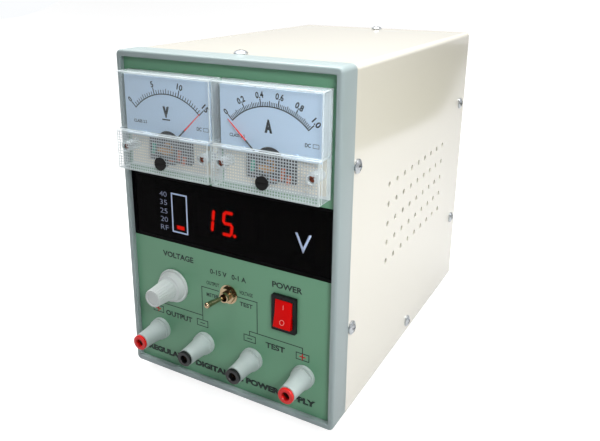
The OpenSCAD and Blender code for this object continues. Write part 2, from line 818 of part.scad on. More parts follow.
module panel_nuts() color([0.83, 0.8, 0.7]) placed() {
  // potentiometer and toggle nuts with their washers
  nut_y(knob_x, knob_z, 1.2, panel_y, 10, 3.55);
  nut_y(toggle_x, toggle_z, 0.7, panel_y - 0.5, 8.6, 3.05);
  difference() {
    rod_y(toggle_x, toggle_z, panel_y - 0.5, panel_y, 5.9);
    rod_y(toggle_x, toggle_z, panel_y - 1, panel_y + 1, 3.05);
  }
  // binding post nuts
  for (x = posts) {
    nut_y(x, post_z, back_y + 3.1, back_y + 6.6, 10, 3.05);
    nut_y(x, post_z, back_y + 8.2, back_y + 11.7, 10, 3.05);
  }
}

module solder_lugs() color([0.78, 0.76, 0.7]) placed() {
  for (x = posts) {
    difference() {
      union() {
        rod_y(x, post_z, back_y + 6.8, back_y + 7.6, 5.5);
        box([x - 2, back_y + 6.8, post_z + 4], [x + 2, back_y + 7.6, post_z + 16]);
      }
      rod_y(x, post_z, back_y + 6, back_y + 9, 3.05);
      rod_y(x, post_z + 13, back_y + 6, back_y + 9, 1);
    }
  }
  // rocker blades, toggle lugs and potentiometer lugs
  for (i = [-1, 1]) {
    box([rocker_x - 2.4, 17, rocker_z + i * 5 - 0.4], [rocker_x + 2.4, 25, rocker_z + i * 5 + 0.4]);
  }
  for (i = [-1:1]) {
    box([toggle_x + i * 4.7 - 0.4, 15.5, toggle_z - 1], [toggle_x + i * 4.7 + 0.4, 20, toggle_z + 1]);
    box([knob_x + i * 5 - 0.7, 9.5, knob_z - 17], [knob_x + i * 5 + 0.7, 10, knob_z - 13]);
  }
}

// ---- rear fittings ----

module inlet_body() color([0.05, 0.05, 0.05]) placed() {
  out_y = rear_y + plate;
  difference() {
    union() {
      slab_y(inlet_x, inlet_z, 31, 38, 2, out_y, out_y + 2.2);
      box([inlet_x - 13.5, 200, inlet_z - 16.5], [inlet_x + 13.5, out_y + 0.01, inlet_z + 16.5]);
    }
    // connector well with two cut corners
    translate([inlet_x, 260, inlet_z - 6.5]) rotate([90, 0, 0]) linear_extrude(height = 260 - 212) {
      polygon([[-12, -7.5], [12, -7.5], [12, 3.5], [8, 7.5], [-8, 7.5], [-12, 3.5]]);
    }
    // fuse drawer well
    box([inlet_x - 11.4, 203, inlet_z + 4], [inlet_x + 11.4, 260, inlet_z + 14.2]);
  }
}

module inlet_pins() color([0.8, 0.8, 0.78]) placed() {
  for (p = [[-7, -8.5], [0, -4.5], [7, -8.5]]) {
    box([inlet_x + p[0] - 1, 192, inlet_z + p[1] - 2],
        [inlet_x + p[0] + 1, 199.9, inlet_z + p[1] + 2]);
    box([inlet_x + p[0] - 1, 212, inlet_z + p[1] - 2],
        [inlet_x + p[0] + 1, 226, inlet_z + p[1] + 2]);
  }
}

module fuse_drawer() color([0.07, 0.07, 0.07]) placed() {
  y1 = rear_y + plate + 2.2;
  difference() {
    union() {
      box([inlet_x - 11.1, 206, inlet_z + 4.4], [inlet_x + 11.1, y1 - 0.6, inlet_z + 13.8]);
      box([inlet_x - 11.1, y1 - 0.61, inlet_z + 4.4], [inlet_x + 11.1, y1 + 1, inlet_z + 13.8]);
    }
    // cradle for the fuse across the drawer and a spare behind it
    box([inlet_x - 10, 207, inlet_z + 6], [inlet_x + 10, y1 - 8, inlet_z + 15]);
    // finger notch
    box([inlet_x - 4, y1 - 0.2, inlet_z + 12.6], [inlet_x + 4, y1 + 3, inlet_z + 15]);
  }
}

module fuse() color([0.85, 0.86, 0.85]) placed() {
  for (y = [210.2, 217.2]) {
    rod_x(y, inlet_z + 8.7, inlet_x - 10, inlet_x - 4.5, 2.6);
    rod_x(y, inlet_z + 8.7, inlet_x - 4.5, inlet_x + 4.5, 2.3);
    rod_x(y, inlet_z + 8.7, inlet_x + 4.5, inlet_x + 10, 2.6);
  }
}

module selector_body() color([0.06, 0.06, 0.06]) placed() {
  out_y = rear_y + plate;
  difference() {
    union() {
      slab_y(inlet_x, selector_z, 37, 16, 1.5, out_y, out_y + 1);
      box([inlet_x - 12, 214, selector_z - 6.5], [inlet_x + 12, out_y + 0.01, selector_z + 6.5]);
    }
    box([inlet_x - 10, 222, selector_z - 4], [inlet_x + 10, 260, selector_z + 4]);
    for (s = [-1, 1]) {
      rod_y(inlet_x + s * 15, selector_z, 200, 260, 1.5);
    }
  }
}

module selector_slider() color([0.8, 0.08, 0.06]) placed() {
  difference() {
    box([inlet_x - 9.6, 222.3, selector_z - 3.6], [inlet_x + 4.6, 227, selector_z + 3.6]);
    box([inlet_x - 3.3, 225, selector_z - 5], [inlet_x - 1.7, 230, selector_z + 5]);
  }
}

module heat_sink() color([0.1, 0.1, 0.1]) placed() {
  y0 = rear_y + plate;
  half = sink_w / 2;
  difference() {
    union() {
      box([sink_x - half, y0, sink_z - sink_h / 2], [sink_x + half, y0 + 3.5, sink_z + sink_h / 2]);
      // four fins each side of the transistor channel
      for (s = [-1, 1]) {
        for (i = [0:3]) {
          translate([sink_x + s * (half - 1 - i * 5.4), 0, 0]) {
            box([-1, y0 + 3.49, sink_z - sink_h / 2], [1, case_d + sink_d, sink_z + sink_h / 2]);
          }
        }
      }
    }
    for (s = [-1, 1]) {
      rod_y(sink_x + s * 5.45, sink_z - 1.9, y0 - 1, y0 + 5, 2.6);
      rod_y(sink_x + s * 15.1, sink_z, y0 - 1, y0 + 5, 1.5);
      for (t = [-1, 1]) {
        rod_y(sink_x + s * 30, sink_z + t * 44, y0 - 1, y0 + 2.8, 1.5);
      }
    }
  }
}

module power_transistor() color([0.76, 0.77, 0.78]) placed() {
  y0 = rear_y + plate + 3.5;
  difference() {
    translate([sink_x, y0 + 1.6, sink_z]) rotate([90, 0, 0]) linear_extrude(height = 1.6) {
      circle(r = 12.7);
      for (s = [-1, 1]) {
        translate([s * 15.1, 0]) circle(r = 4.2);
        polygon([[0, 12.6], [s * 16.5, 3.9], [s * 16.5, -3.9], [0, -12.6]]);
      }
    }
    for (s = [-1, 1]) {
      rod_y(sink_x + s * 15.1, sink_z, y0 - 1, y0 + 3, 1.5);
    }
  }
  rod_y(sink_x, sink_z, y0 + 1.59, y0 + 7.4, 10.6);
  rod_y(sink_x, sink_z, y0 + 1.59, y0 + 2.6, 11.2);
  for (s = [-1, 1]) {
    rod_y(sink_x + s * 5.45, sink_z - 1.9, y0 - 10, y0 + 0.01, 0.5);
  }
}

// ---- inside ----

module transformer_core() color([0.3, 0.3, 0.33]) placed() {
  translate([trafo_x, trafo_y, trafo_z]) difference() {
    union() {
      box([-stack / 2, -39, -32.5], [stack / 2, 39, 32.5]);
      // mounting strap with feet
      box([-stack / 2, -50, -32.5 - plate], [stack / 2, 50, -32.5 + 0.01]);
    }
    for (s = [-1, 1]) {
      box([-40, s * 19.5 - 6.5, -19.5], [40, s * 19.5 + 6.5, 19.5]);
      for (t = [-1, 1]) {
        translate([s * 15, t * 45, -40]) cylinder(r = 1.5, h = 20);
      }
    }
  }
}

module transformer_coil() color([0.75, 0.6, 0.25]) placed() {
  translate([trafo_x, trafo_y, trafo_z]) difference() {
    union() {
      translate([0, 0, -19.3]) linear_extrude(height = 1.2) round_rect(stack + 25, 51.6, 2);
      translate([0, 0, 18.1]) linear_extrude(height = 1.2) round_rect(stack + 25, 51.6, 2);
      translate([0, 0, -18.11]) linear_extrude(height = 36.22) round_rect(stack + 22, 49.6, 6);
    }
    box([-stack / 2 - 0.2, -13.2, -30], [stack / 2 + 0.2, 13.2, 30]);
  }
}

module main_board() color([0.1, 0.38, 0.2]) placed() {
  difference() {
    translate([board_x, board_y, board_z]) linear_extrude(height = 1.6) {
      round_rect(board_w, board_l, 2);
    }
    for (s = [-1, 1]) {
      for (t = [-1, 1]) {
        rod_z(board_x + s * (board_w / 2 - 4), board_y + t * (board_l / 2 - 4), 0, 20, 1.5);
      }
    }
  }
  // stand-offs
  for (s = [-1, 1]) {
    for (t = [-1, 1]) {
      translate([board_x + s * (board_w / 2 - 4), board_y + t * (board_l / 2 - 4), floor_z]) {
        difference() {
          cylinder(r = 3, h = board_up);
          translate([0, 0, -1]) cylinder(r = 1.5, h = board_up + 2);
        }
      }
    }
  }
}

module capacitors() color([0.12, 0.14, 0.3]) placed() {
  top = board_z + 1.6;
  for (p = [[-13, -34], [13, -34]]) {
    rod_z(board_x + p[0], board_y + p[1], top, top + 42, 12);
  }
  for (p = [[-16, 2], [-4, 2], [16, 38]]) {
    rod_z(board_x + p[0], board_y + p[1], top, top + 16, 5);
  }
}

module board_parts() color([0.08, 0.08, 0.09]) placed() {
  top = board_z + 1.6;
  // bridge rectifier, relay, regulator, op-amp and terminal block
  box([board_x - 12, board_y - 15, top], [board_x + 12, board_y - 9, top + 19]);
  box([board_x + 4, board_y - 4, top], [board_x + 20, board_y + 16, top + 16]);
  box([board_x - 20, board_y + 14, top], [board_x - 10, board_y + 19, top + 16]);
  box([board_x - 8, board_y + 26, top], [board_x + 2, board_y + 33, top + 4]);
  box([board_x - 16, board_y + 46, top], [board_x + 14, board_y + 56, top + 12]);
}

module display_board() color([0.1, 0.38, 0.2]) placed() {
  box([-60, 15, 91], [50, 16.6, 127]);
  for (x = [-50, 40]) {
    rod_y(x, 93.4, back_y + 0.1, 15, 2.2);
  }
  // driver chip and connector
  box([-20, 16.6, 100], [6, 20, 107]);
  box([28, 16.6, 96], [40, 25, 102]);
}

module led_display() color([0.16, 0.15, 0.15]) placed() {
  box([led_x - 20.3, 7, led_z - 9.5], [led_x + 20.3, 15, led_z + 9.5]);
  box([bar_x - 5.1, 7, led_z - 12.7], [bar_x + 5.1, 15, led_z + 12.7]);
}

front_frame();
front_panel();
panel_overlay();
display_window();
front_bracket();
chassis_tray();
rear_panel();
cover();
cover_screws();
feet();
chassis_screws();
voltmeter_cover();
voltmeter_base();
voltmeter_dial();
voltmeter_movement();
voltmeter_needle();
voltmeter_zero();
ammeter_cover();
ammeter_base();
ammeter_dial();
ammeter_movement();
ammeter_needle();
ammeter_zero();
meter_screws();
meter_studs();
voltage_knob();
pot_shaft();
pot_body();
toggle_lever();
toggle_bushing();
toggle_body();
rocker_frame();
rocker_button();
output_plus_cap();
output_minus_cap();
test_minus_cap();
test_plus_cap();
output_plus_ring();
output_minus_ring();
test_minus_ring();
test_plus_ring();
post_flanges();
post_studs();
panel_nuts();
solder_lugs();
inlet_body();
inlet_pins();
fuse_drawer();
fuse();
selector_body();
selector_slider();
heat_sink();
power_transistor();
transformer_core();
transformer_coil();
main_board();
capacitors();
board_parts();
display_board();
led_display();
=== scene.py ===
# %% [markdown]
# # A bench power supply with two moving-coil meters
# The real object is a folded steel box with a moulded front frame, a printed panel, two clear
# panel meters, a dark display window, a knob, two switches and four binding posts.
# The measured solids arrive as a fixed frame. This lesson gives each surface its finish and adds
# what a solid can't hold: print, lit segments, clear windows, springs and soft edges.

# %% Load the measured model
import math

import bpy
from mathutils import Matrix, Vector


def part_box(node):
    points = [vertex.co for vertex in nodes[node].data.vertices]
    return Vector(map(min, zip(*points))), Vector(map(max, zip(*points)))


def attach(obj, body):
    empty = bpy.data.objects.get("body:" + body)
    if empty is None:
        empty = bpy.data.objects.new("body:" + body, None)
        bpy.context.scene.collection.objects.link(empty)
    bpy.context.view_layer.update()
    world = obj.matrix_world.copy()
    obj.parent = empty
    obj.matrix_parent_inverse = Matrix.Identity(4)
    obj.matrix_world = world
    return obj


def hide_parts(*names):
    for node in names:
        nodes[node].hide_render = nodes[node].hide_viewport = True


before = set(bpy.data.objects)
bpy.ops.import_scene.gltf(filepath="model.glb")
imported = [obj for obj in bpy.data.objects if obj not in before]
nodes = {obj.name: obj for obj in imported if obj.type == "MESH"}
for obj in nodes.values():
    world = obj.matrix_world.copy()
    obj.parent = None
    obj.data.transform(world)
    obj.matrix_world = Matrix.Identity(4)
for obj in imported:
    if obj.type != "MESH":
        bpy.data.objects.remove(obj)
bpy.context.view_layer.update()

# %% [markdown]
# The camera comes first, so that every later choice can be judged through it. It stands to the
# right of the supply and above it, about 0.4 m away, with a slightly wide lens. A camera looks
# along its own -Z with +Y up, so three direction rows are enough to turn it.

# %% Camera
camera_data = bpy.data.cameras.new("bench_camera")
camera = bpy.data.objects.new("bench_camera", camera_data)
bpy.context.scene.collection.objects.link(camera)
to_right = Vector((0.869320, 0.494221, 0.005379))
to_down = Vector((0.147364, -0.248790, -0.957281))
to_front = Vector((-0.471770, 0.832976, -0.289108))
turn = Matrix((to_right, -to_down, -to_front)).transposed().to_4x4()
camera.matrix_world = Matrix.Translation((0.193537, -0.383065, 0.249043)) @ turn
camera_data.sensor_width = 36.0
camera_data.lens = 38.097
camera_data.shift_x = 0.01925
camera_data.shift_y = -0.09089
camera_data.clip_start = 0.01
bpy.context.scene.camera = camera
print("camera at", [round(v, 3) for v in camera.location])

# %% [markdown]
# Places are taken from the measured solids where they can be: the few planes below are the ones
# that the print and the windows sit on.

# %% Places measured from the solids
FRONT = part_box("front_frame")[0].y
CASE_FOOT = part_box("front_frame")[0].z
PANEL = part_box("panel_overlay")[0].y
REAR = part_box("rear_panel")[1].y
print("front", round(FRONT, 4), "panel", round(PANEL, 4), "rear", round(REAR, 4))

# %% [markdown]
# Modelling helpers. Every operator acts on what is selected, so the first helper lets go of
# everything. A block or a rod is always added at its real size and place, and is then shaped:
# bevelled, inset, cut or bent. A finished piece keeps its object at the origin.

# %% Modelling helpers
def mode(name):
    bpy.ops.object.mode_set(mode=name)


def let_go():
    if bpy.context.object and bpy.context.object.mode != "OBJECT":
        mode("OBJECT")
    bpy.ops.object.select_all(action="DESELECT")


def take(*pieces):
    let_go()
    for piece in pieces:
        piece.select_set(True)
    bpy.context.view_layer.objects.active = pieces[0]
    return pieces[0]


def settle(piece):
    """Leaves the piece where it is and puts its object at the origin."""
    take(piece)
    bpy.ops.object.transform_apply(location=True, rotation=True, scale=True)
    return piece


def block(name, low, high):
    let_go()
    low, high = Vector(low), Vector(high)
    bpy.ops.mesh.primitive_cube_add(size=1, location=(low + high) / 2)
    piece = bpy.context.object
    piece.name = name
    piece.scale = high - low
    return settle(piece)


def rod(name, start, end, radius, sides=48):
    let_go()
    start, end = Vector(start), Vector(end)
    along = end - start
    bpy.ops.mesh.primitive_cylinder_add(vertices=sides, radius=radius, depth=along.length,
                                        location=(start + end) / 2,
                                        rotation=along.to_track_quat("Z", "Y").to_euler())
    piece = bpy.context.object
    piece.name = name
    return settle(piece)


def soften(piece, width, segments=3, angle=35):
    """Rounds every edge sharper than the angle."""
    take(piece)
    bevel = piece.modifiers.new("soft_edges", "BEVEL")
    bevel.width = width
    bevel.segments = segments
    bevel.limit_method = "ANGLE"
    bevel.angle_limit = math.radians(angle)
    bpy.ops.object.modifier_apply(modifier=bevel.name)
    return piece


def smooth(piece, angle=35):
    take(piece)
    bpy.ops.object.shade_smooth_by_angle(angle=math.radians(angle))
    return piece


def combine(piece, operation, tools):
    """Adds or takes away the tools' shapes, and throws the tools away."""
    for tool in tools:
        take(piece)
        boolean = piece.modifiers.new("combine", "BOOLEAN")
        boolean.operation = operation
        boolean.solver = "EXACT"
        boolean.object = tool
        bpy.ops.object.modifier_apply(modifier=boolean.name)
        bpy.data.objects.remove(tool)
    return piece


def cut(piece, *tools):
    return combine(piece, "DIFFERENCE", tools)


def fuse_on(piece, *others):
    return combine(piece, "UNION", others)


def gather(name, pieces):
    """Makes several separate shapes one object."""
    take(*pieces)
    bpy.ops.object.join()
    piece = bpy.context.object
    piece.name = name
    piece.data.name = name
    return settle(piece)


print("modelling helpers ready")

# %% [markdown]
# Finishes share a few effects, so those are made once as shader node groups. Each group takes a
# position in metres from Object coordinates and gives back one varying value or colour.
# Fine grain is the sparkle of a moulded or powder-coated skin. Patchiness is the slow change of
# colour and gloss over any real surface. Brushing is the long scratches of worked metal.

# %% Shader node groups
def new_group(name, inputs, outputs):
    group = bpy.data.node_groups.new(name, "ShaderNodeTree")
    for label, kind, value in inputs:
        socket = group.interface.new_socket(label, in_out="INPUT", socket_type=kind)
        if value is not None:
            socket.default_value = value
    for label, kind in outputs:
        group.interface.new_socket(label, in_out="OUTPUT", socket_type=kind)
    return group, group.nodes.new("NodeGroupInput"), group.nodes.new("NodeGroupOutput")


def wire(source, target):
    """Links two sockets of the same shader."""
    source.id_data.links.new(source, target)


def add_node(tree, kind, **settings):
    """A new shader node. Each setting is a socket to link, an input's value or a property."""
    node = tree.nodes.new(kind)
    for key, value in settings.items():
        if isinstance(value, bpy.types.NodeSocket):
            wire(value, node.inputs[key])
        elif isinstance(value, (int, float, tuple)) and key in node.inputs:
            node.inputs[key].default_value = value
        else:
            setattr(node, key, value)
    return node


def calc(tree, operation, *inputs, **settings):
    """One sum in a shader. Each input is a number or another node's socket."""
    node = add_node(tree, "ShaderNodeMath", operation=operation, **settings)
    for socket, value in zip(node.inputs, inputs):
        if isinstance(value, bpy.types.NodeSocket):
            wire(value, socket)
        else:
            socket.default_value = value
    return node.outputs[0]


FLOAT, COLOUR, VECTOR = "NodeSocketFloat", "NodeSocketColor", "NodeSocketVector"

grain_group, g_in, g_out = new_group(
    "fine_grain", [("Position", VECTOR, None), ("Size", FLOAT, 1500.0)], [("Height", FLOAT)])
where = {"Vector": g_in.outputs["Position"], "Scale": g_in.outputs["Size"]}
g_noise = add_node(grain_group, "ShaderNodeTexNoise", Detail=3.0, Roughness=0.6, **where)
g_cells = add_node(grain_group, "ShaderNodeTexVoronoi", **where)
g_mix = calc(grain_group, "MULTIPLY_ADD", g_cells.outputs["Distance"], 0.4,
             g_noise.outputs["Fac"])
wire(g_mix, g_out.inputs["Height"])

patch_group, p_in, p_out = new_group(
    "patchiness",
    [("Position", VECTOR, None), ("Size", FLOAT, 12.0), ("Colour", COLOUR, (0.5, 0.5, 0.5, 1)),
     ("Amount", FLOAT, 0.05), ("Roughness", FLOAT, 0.4), ("Gloss change", FLOAT, 0.05)],
    [("Colour", COLOUR), ("Roughness", FLOAT)])
p_noise = add_node(patch_group, "ShaderNodeTexNoise", Detail=5.0, Roughness=0.65,
                   Vector=p_in.outputs["Position"], Scale=p_in.outputs["Size"])
p_shift = calc(patch_group, "SUBTRACT", p_noise.outputs["Fac"], 0.5)
p_dark = calc(patch_group, "MULTIPLY_ADD", p_shift, p_in.outputs["Amount"], 1.0)
p_tint = add_node(patch_group, "ShaderNodeVectorMath", operation="SCALE", Scale=p_dark)
p_gloss = calc(patch_group, "MULTIPLY_ADD", p_shift, p_in.outputs["Gloss change"],
               p_in.outputs["Roughness"])
wire(p_in.outputs["Colour"], p_tint.inputs[0])
wire(p_tint.outputs["Vector"], p_out.inputs["Colour"])
wire(p_gloss, p_out.inputs["Roughness"])

brush_group, b_in, b_out = new_group(
    "brushing", [("Position", VECTOR, None), ("Along", VECTOR, (1, 1, 0.02)),
                 ("Size", FLOAT, 2500.0)], [("Height", FLOAT)])
b_scale = add_node(brush_group, "ShaderNodeVectorMath", operation="MULTIPLY")
wire(b_in.outputs["Position"], b_scale.inputs[0])
wire(b_in.outputs["Along"], b_scale.inputs[1])
b_noise = add_node(brush_group, "ShaderNodeTexNoise", Detail=4.0, Roughness=0.7,
                   Vector=b_scale.outputs[0], Scale=b_in.outputs["Size"])
wire(b_noise.outputs["Fac"], b_out.inputs["Height"])
print("node groups", [g.name for g in bpy.data.node_groups])

# %% [markdown]
# One recipe serves most surfaces: a base colour with a little patchiness, a roughness that
# drifts, and a skin of grain or brushing through a Bump node. Metals differ in the metallic
# socket and in using brushing. Values that are the same all over sit on the shader's sockets.

# %% The finish recipe
def shader_of(material):
    return material.node_tree.nodes["Principled BSDF"]


def patchy(name, colour, roughness, amount, size, gloss):
    """A new material whose colour and roughness drift over the surface."""
    material = bpy.data.materials.new(name)
    material.use_nodes = True
    material.diffuse_color = (*colour, 1)
    tree = material.node_tree
    place = tree.nodes.new("ShaderNodeTexCoord")
    patches = add_node(tree, "ShaderNodeGroup", node_tree=patch_group, Amount=amount, Size=size,
                       Colour=(*colour, 1), Roughness=roughness, Position=place.outputs["Object"])
    patches.inputs["Gloss change"].default_value = gloss
    shader = shader_of(material)
    wire(patches.outputs["Colour"], shader.inputs["Base Color"])
    wire(patches.outputs["Roughness"], shader.inputs["Roughness"])
    return material, tree, shader, place


def finish(name, colour, roughness, metallic=0.0, patch=0.05, patch_size=14.0, gloss=0.06,
           grain=1500.0, depth=0.00001, brush=None, coat=0.0, coat_roughness=0.1):
    material, tree, shader, place = patchy(name, colour, roughness, patch, patch_size, gloss)
    skin = add_node(tree, "ShaderNodeGroup", node_tree=brush_group if brush else grain_group,
                    Position=place.outputs["Object"], Size=grain)
    if brush:
        skin.inputs["Along"].default_value = brush
    bump = add_node(tree, "ShaderNodeBump", Strength=1.0, Distance=depth,
                    Height=skin.outputs["Height"])
    wire(bump.outputs["Normal"], shader.inputs["Normal"])
    for label, value in (("Metallic", metallic), ("IOR", 1.5), ("Coat Weight", coat),
                         ("Coat Roughness", coat_roughness)):
        shader.inputs[label].default_value = value
    return material


def wear(material, *names):
    """Gives the material to measured nodes."""
    for name in names:
        slots = nodes[name].data.materials
        slots.clear()
        slots.append(material)


print("finish recipe ready")

# %% [markdown]
# Printing comes next, with its own helpers. Screen print is a skin of ink a few hundredths of a
# millimetre thick. A stroke starts as a flat plane and is extruded to that thickness. A frame
# line is a plane with its middle inset and removed. Words are text objects made into meshes and
# brought to a given height and width.

# %% Printing helpers
INK = 0.00004


def at(across, depth, height):
    """A place in millimetres: across from the middle, behind the frame's front, above the case."""
    return Vector((across / 1000, FRONT + depth / 1000, CASE_FOOT + height / 1000))


def srgb(red, green, blue):
    """A colour as it looks, 0 to 255, made into the linear values that shaders use."""
    return tuple(((c / 255 + 0.055) / 1.055) ** 2.4 if c > 10 else c / 255 / 12.92
                 for c in (red, green, blue))


def thicken(piece, thickness=INK):
    """Gives a flat print its thickness, growing towards the front."""
    take(piece)
    skin = piece.modifiers.new("ink", "SOLIDIFY")
    skin.thickness = thickness
    skin.offset = 1
    bpy.ops.object.modifier_apply(modifier=skin.name)
    return piece


def patch(name, x0, z0, x1, z1, depth):
    let_go()
    bpy.ops.mesh.primitive_plane_add(size=1, location=at((x0 + x1) / 2, depth, (z0 + z1) / 2),
                                     rotation=(math.pi / 2, 0, 0))
    piece = bpy.context.object
    piece.name = name
    piece.scale = ((x1 - x0) / 1000, (z1 - z0) / 1000, 1)
    return settle(piece)


def stroke(name, x0, z0, x1, z1, width, depth):
    half = width / 2
    if x0 == x1:
        return thicken(patch(name, x0 - half, min(z0, z1) - half, x0 + half, max(z0, z1) + half,
                             depth))
    return thicken(patch(name, min(x0, x1) - half, z0 - half, max(x0, x1) + half, z0 + half, depth))


def disc(name, x, z, radius, depth, sides):
    let_go()
    bpy.ops.mesh.primitive_circle_add(vertices=sides, radius=radius / 1000, fill_type="NGON",
                                      location=at(x, depth, z), rotation=(math.pi / 2, 0, 0))
    bpy.context.object.name = name
    return settle(bpy.context.object)


def border(piece, width):
    """Keeps only a flat piece's border, the width given in millimetres."""
    take(piece)
    mode("EDIT")
    bpy.ops.mesh.select_all(action="SELECT")
    bpy.ops.mesh.inset(thickness=width / 1000)
    bpy.ops.mesh.delete(type="FACE")
    mode("OBJECT")
    return thicken(piece)


def outline(name, x0, z0, x1, z1, width, depth):
    return border(patch(name, x0, z0, x1, z1, depth), width)


def words(name, text, x, z, depth, tall, wide, heavy=0.0, back=False):
    let_go()
    bpy.ops.object.text_add(location=(0, 0, 0))
    piece = bpy.context.object
    piece.name = name
    piece.data.body = text
    piece.data.size = 0.01
    piece.data.offset = heavy / 1000
    piece.data.resolution_u = 3
    bpy.ops.object.convert(target="MESH")
    piece = bpy.context.object
    xs = [v.co.x for v in piece.data.vertices]
    ys = [v.co.y for v in piece.data.vertices]
    grow = tall / 1000 / (max(ys) - min(ys))
    stretch = wide / 1000 / (max(xs) - min(xs))
    middle = Vector(((max(xs) + min(xs)) / 2, (max(ys) + min(ys)) / 2, 0))
    piece.matrix_world = (Matrix.Translation(at(x, depth, z))
                          @ Matrix.Rotation(math.pi if back else 0, 4, "Z")
                          @ Matrix.Rotation(math.pi / 2, 4, "X")
                          @ Matrix.Diagonal((stretch, grow, 1, 1))
                          @ Matrix.Translation(-middle))
    return thicken(settle(piece))


def turned(piece, x, z, angle):
    """Turns a piece about a line along Y through a point of the front, clockwise as seen."""
    piece.matrix_world = (Matrix.Translation(at(x, 0, z))
                          @ Matrix.Rotation(math.radians(angle), 4, "Y")
                          @ Matrix.Translation(-at(x, 0, z)))
    return settle(piece)


def paint(piece, material, body="case"):
    piece.data.materials.clear()
    piece.data.materials.append(material)
    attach(piece, body)
    return piece


print("printing helpers ready")

# %% [markdown]
# The front frame is one injection moulding in light blue-grey plastic. It is a block with round
# upright corners, whose front edge is rolled over. Only the outer front edges get the wide roll,
# so they are picked by place. The window for the panel is then cut through, and a light bevel
# catches the light on every remaining edge.

# %% Front frame moulding
frame_low, frame_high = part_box("front_frame")
moulding = block("front_moulding", frame_low, frame_high)


def pick_edges(piece, test):
    """Selects the edges whose two ends both pass the test, and opens edit mode."""
    take(piece)
    mode("EDIT")
    bpy.ops.mesh.select_mode(type="EDGE")
    bpy.ops.mesh.select_all(action="DESELECT")
    mode("OBJECT")
    count = 0
    for edge in piece.data.edges:
        ends = [piece.data.vertices[i].co for i in edge.vertices]
        edge.select = bool(test(*ends))
        count += edge.select
    mode("EDIT")
    return count


found = pick_edges(moulding, lambda a, b: abs(a.y - b.y) > 0.01)
bpy.ops.mesh.bevel(offset=0.003, segments=6)
mode("OBJECT")
print("corner edges rounded", found)
found = pick_edges(moulding, lambda a, b: a.y < FRONT + 1e-5 and b.y < FRONT + 1e-5)
bpy.ops.mesh.bevel(offset=0.0014, segments=5)
mode("OBJECT")
print("front edges rolled", found)
case_tall = (frame_high.z - frame_low.z) * 1000
HALF_WIDTH, LIP, PANEL_SINK = 71, 3.2, 3.2
opening = block("opening", at(-HALF_WIDTH + LIP, -2, LIP + 0.4),
                at(HALF_WIDTH - LIP, PANEL_SINK + 1, case_tall - LIP - 0.4))
pick_edges(opening, lambda a, b: abs(a.y - b.y) > 0.001)
bpy.ops.mesh.bevel(offset=0.001, segments=3)
mode("OBJECT")
pocket = block("pocket", at(2 - HALF_WIDTH, PANEL_SINK, 2), at(HALF_WIDTH - 2, 18, case_tall - 2))
cut(moulding, opening, pocket)
soften(moulding, 0.00035, 2, 50)
smooth(moulding, 40)
case_plastic = finish("case_plastic", srgb(159, 173, 173), 0.36, patch=0.04, gloss=0.08,
                      grain=2600, depth=0.000006)
paint(moulding, case_plastic)
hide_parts("front_frame")
print("moulding faces", len(moulding.data.polygons))

# %% [markdown]
# The panel is thin printed film on metal. Its green is a flat ink with a faint tooth, so a
# little patchiness and a fine grain are enough. The lettering lies on it in a near-black green.

# %% Panel film and its print
panel_green = finish("panel_green", srgb(108, 160, 127), 0.38, patch=0.05, patch_size=30,
                     gloss=0.1, grain=3200, depth=0.000005)
wear(panel_green, "panel_overlay")
panel_ink = finish("panel_ink", srgb(14, 38, 32), 0.45, patch=0.1, grain=4000, depth=0.000002)
red_ink = finish("red_ink", srgb(205, 38, 34), 0.45, patch=0.08, grain=4000, depth=0.000002)
FILM = (PANEL - FRONT) * 1000
# each entry: the words, where their middle is, their height, width and weight
dark = [words("label", text, x, z, FILM, tall, wide, heavy=heavy)
        for text, x, z, tall, wide, heavy in [
            ("VOLTAGE", -35.2, 80, 3.6, 23, 0.34), ("POWER", 40, 79.1, 3.6, 19, 0.34),
            ("OUTPUT", -36.7, 39.5, 3.6, 20.5, 0.34), ("TEST", 32.4, 39.5, 3.6, 12.7, 0.34),
            ("OUTPUT", -10, 68.3, 2.4, 9.2, 0.2), ("METER", -10.4, 60.6, 2.4, 8.7, 0.2),
            ("VOLTAGE", 13.1, 68, 2.3, 9.2, 0.2), ("TEST", 13.1, 60.8, 2.7, 8.8, 0.24),
            ("0-15 V   0-1 A", 0.8, 76.3, 3.2, 25, 0.22),
            ("REGULATED DIGITAL DC POWER SUPPLY", -2.2, 10.9, 4.1, 121.5, 0.66)]]
for number, line in enumerate([
        (-17.9, 64.7, -6, 64.7), (5.6, 64.7, 20.6, 64.7), (-18.2, 64.7, -18.2, 42.3),
        (20.5, 64.7, 20.5, 44.7), (-52.7, 45.3, -18.2, 45.3), (-52.7, 45.3, -52.7, 42.8),
        (15.2, 44.7, 50, 44.7), (15.2, 44.7, 15.2, 42.2), (50, 44.7, 50, 41.4),
        (-20, 40, -17, 40), (13.7, 39.8, 16.7, 39.8)]):
    dark.append(stroke(f"line{number}", *line, 0.5, FILM))
for number, frame_line in enumerate([
        (-57, 38.1, -48.6, 42.8), (-22.8, 37.7, -14.4, 42.3), (11.1, 37.5, 19.4, 42.1),
        (45.8, 36.8, 54.3, 41.4)]):
    dark.append(outline(f"box{number}", *frame_line, 0.5, FILM))
paint(gather("panel_lettering", dark), panel_ink)
signs = [stroke("sign", *line, 0.75, FILM) for line in [
    (-54.4, 40.4, -51.2, 40.4), (-52.8, 38.9, -52.8, 41.9),
    (48.4, 39.1, 51.6, 39.1), (50, 37.6, 50, 40.6)]]
paint(gather("plus_signs", signs), red_ink)
print("panel print pieces", len(dark) + len(signs))

# %% [markdown]
# The display window is a strip of smoky acrylic. Behind it a three-digit LED display and a bar
# glow red. A digit's segment is a long hexagon, so one six-sided disc has its two ends pulled
# apart, and copies make every segment. Lit ones glow. The others get a faint painted glow, so
# they are only just visible.

# %% Display segments
LED_FACE = (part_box("led_display")[0].y - FRONT) * 1000 - 0.05


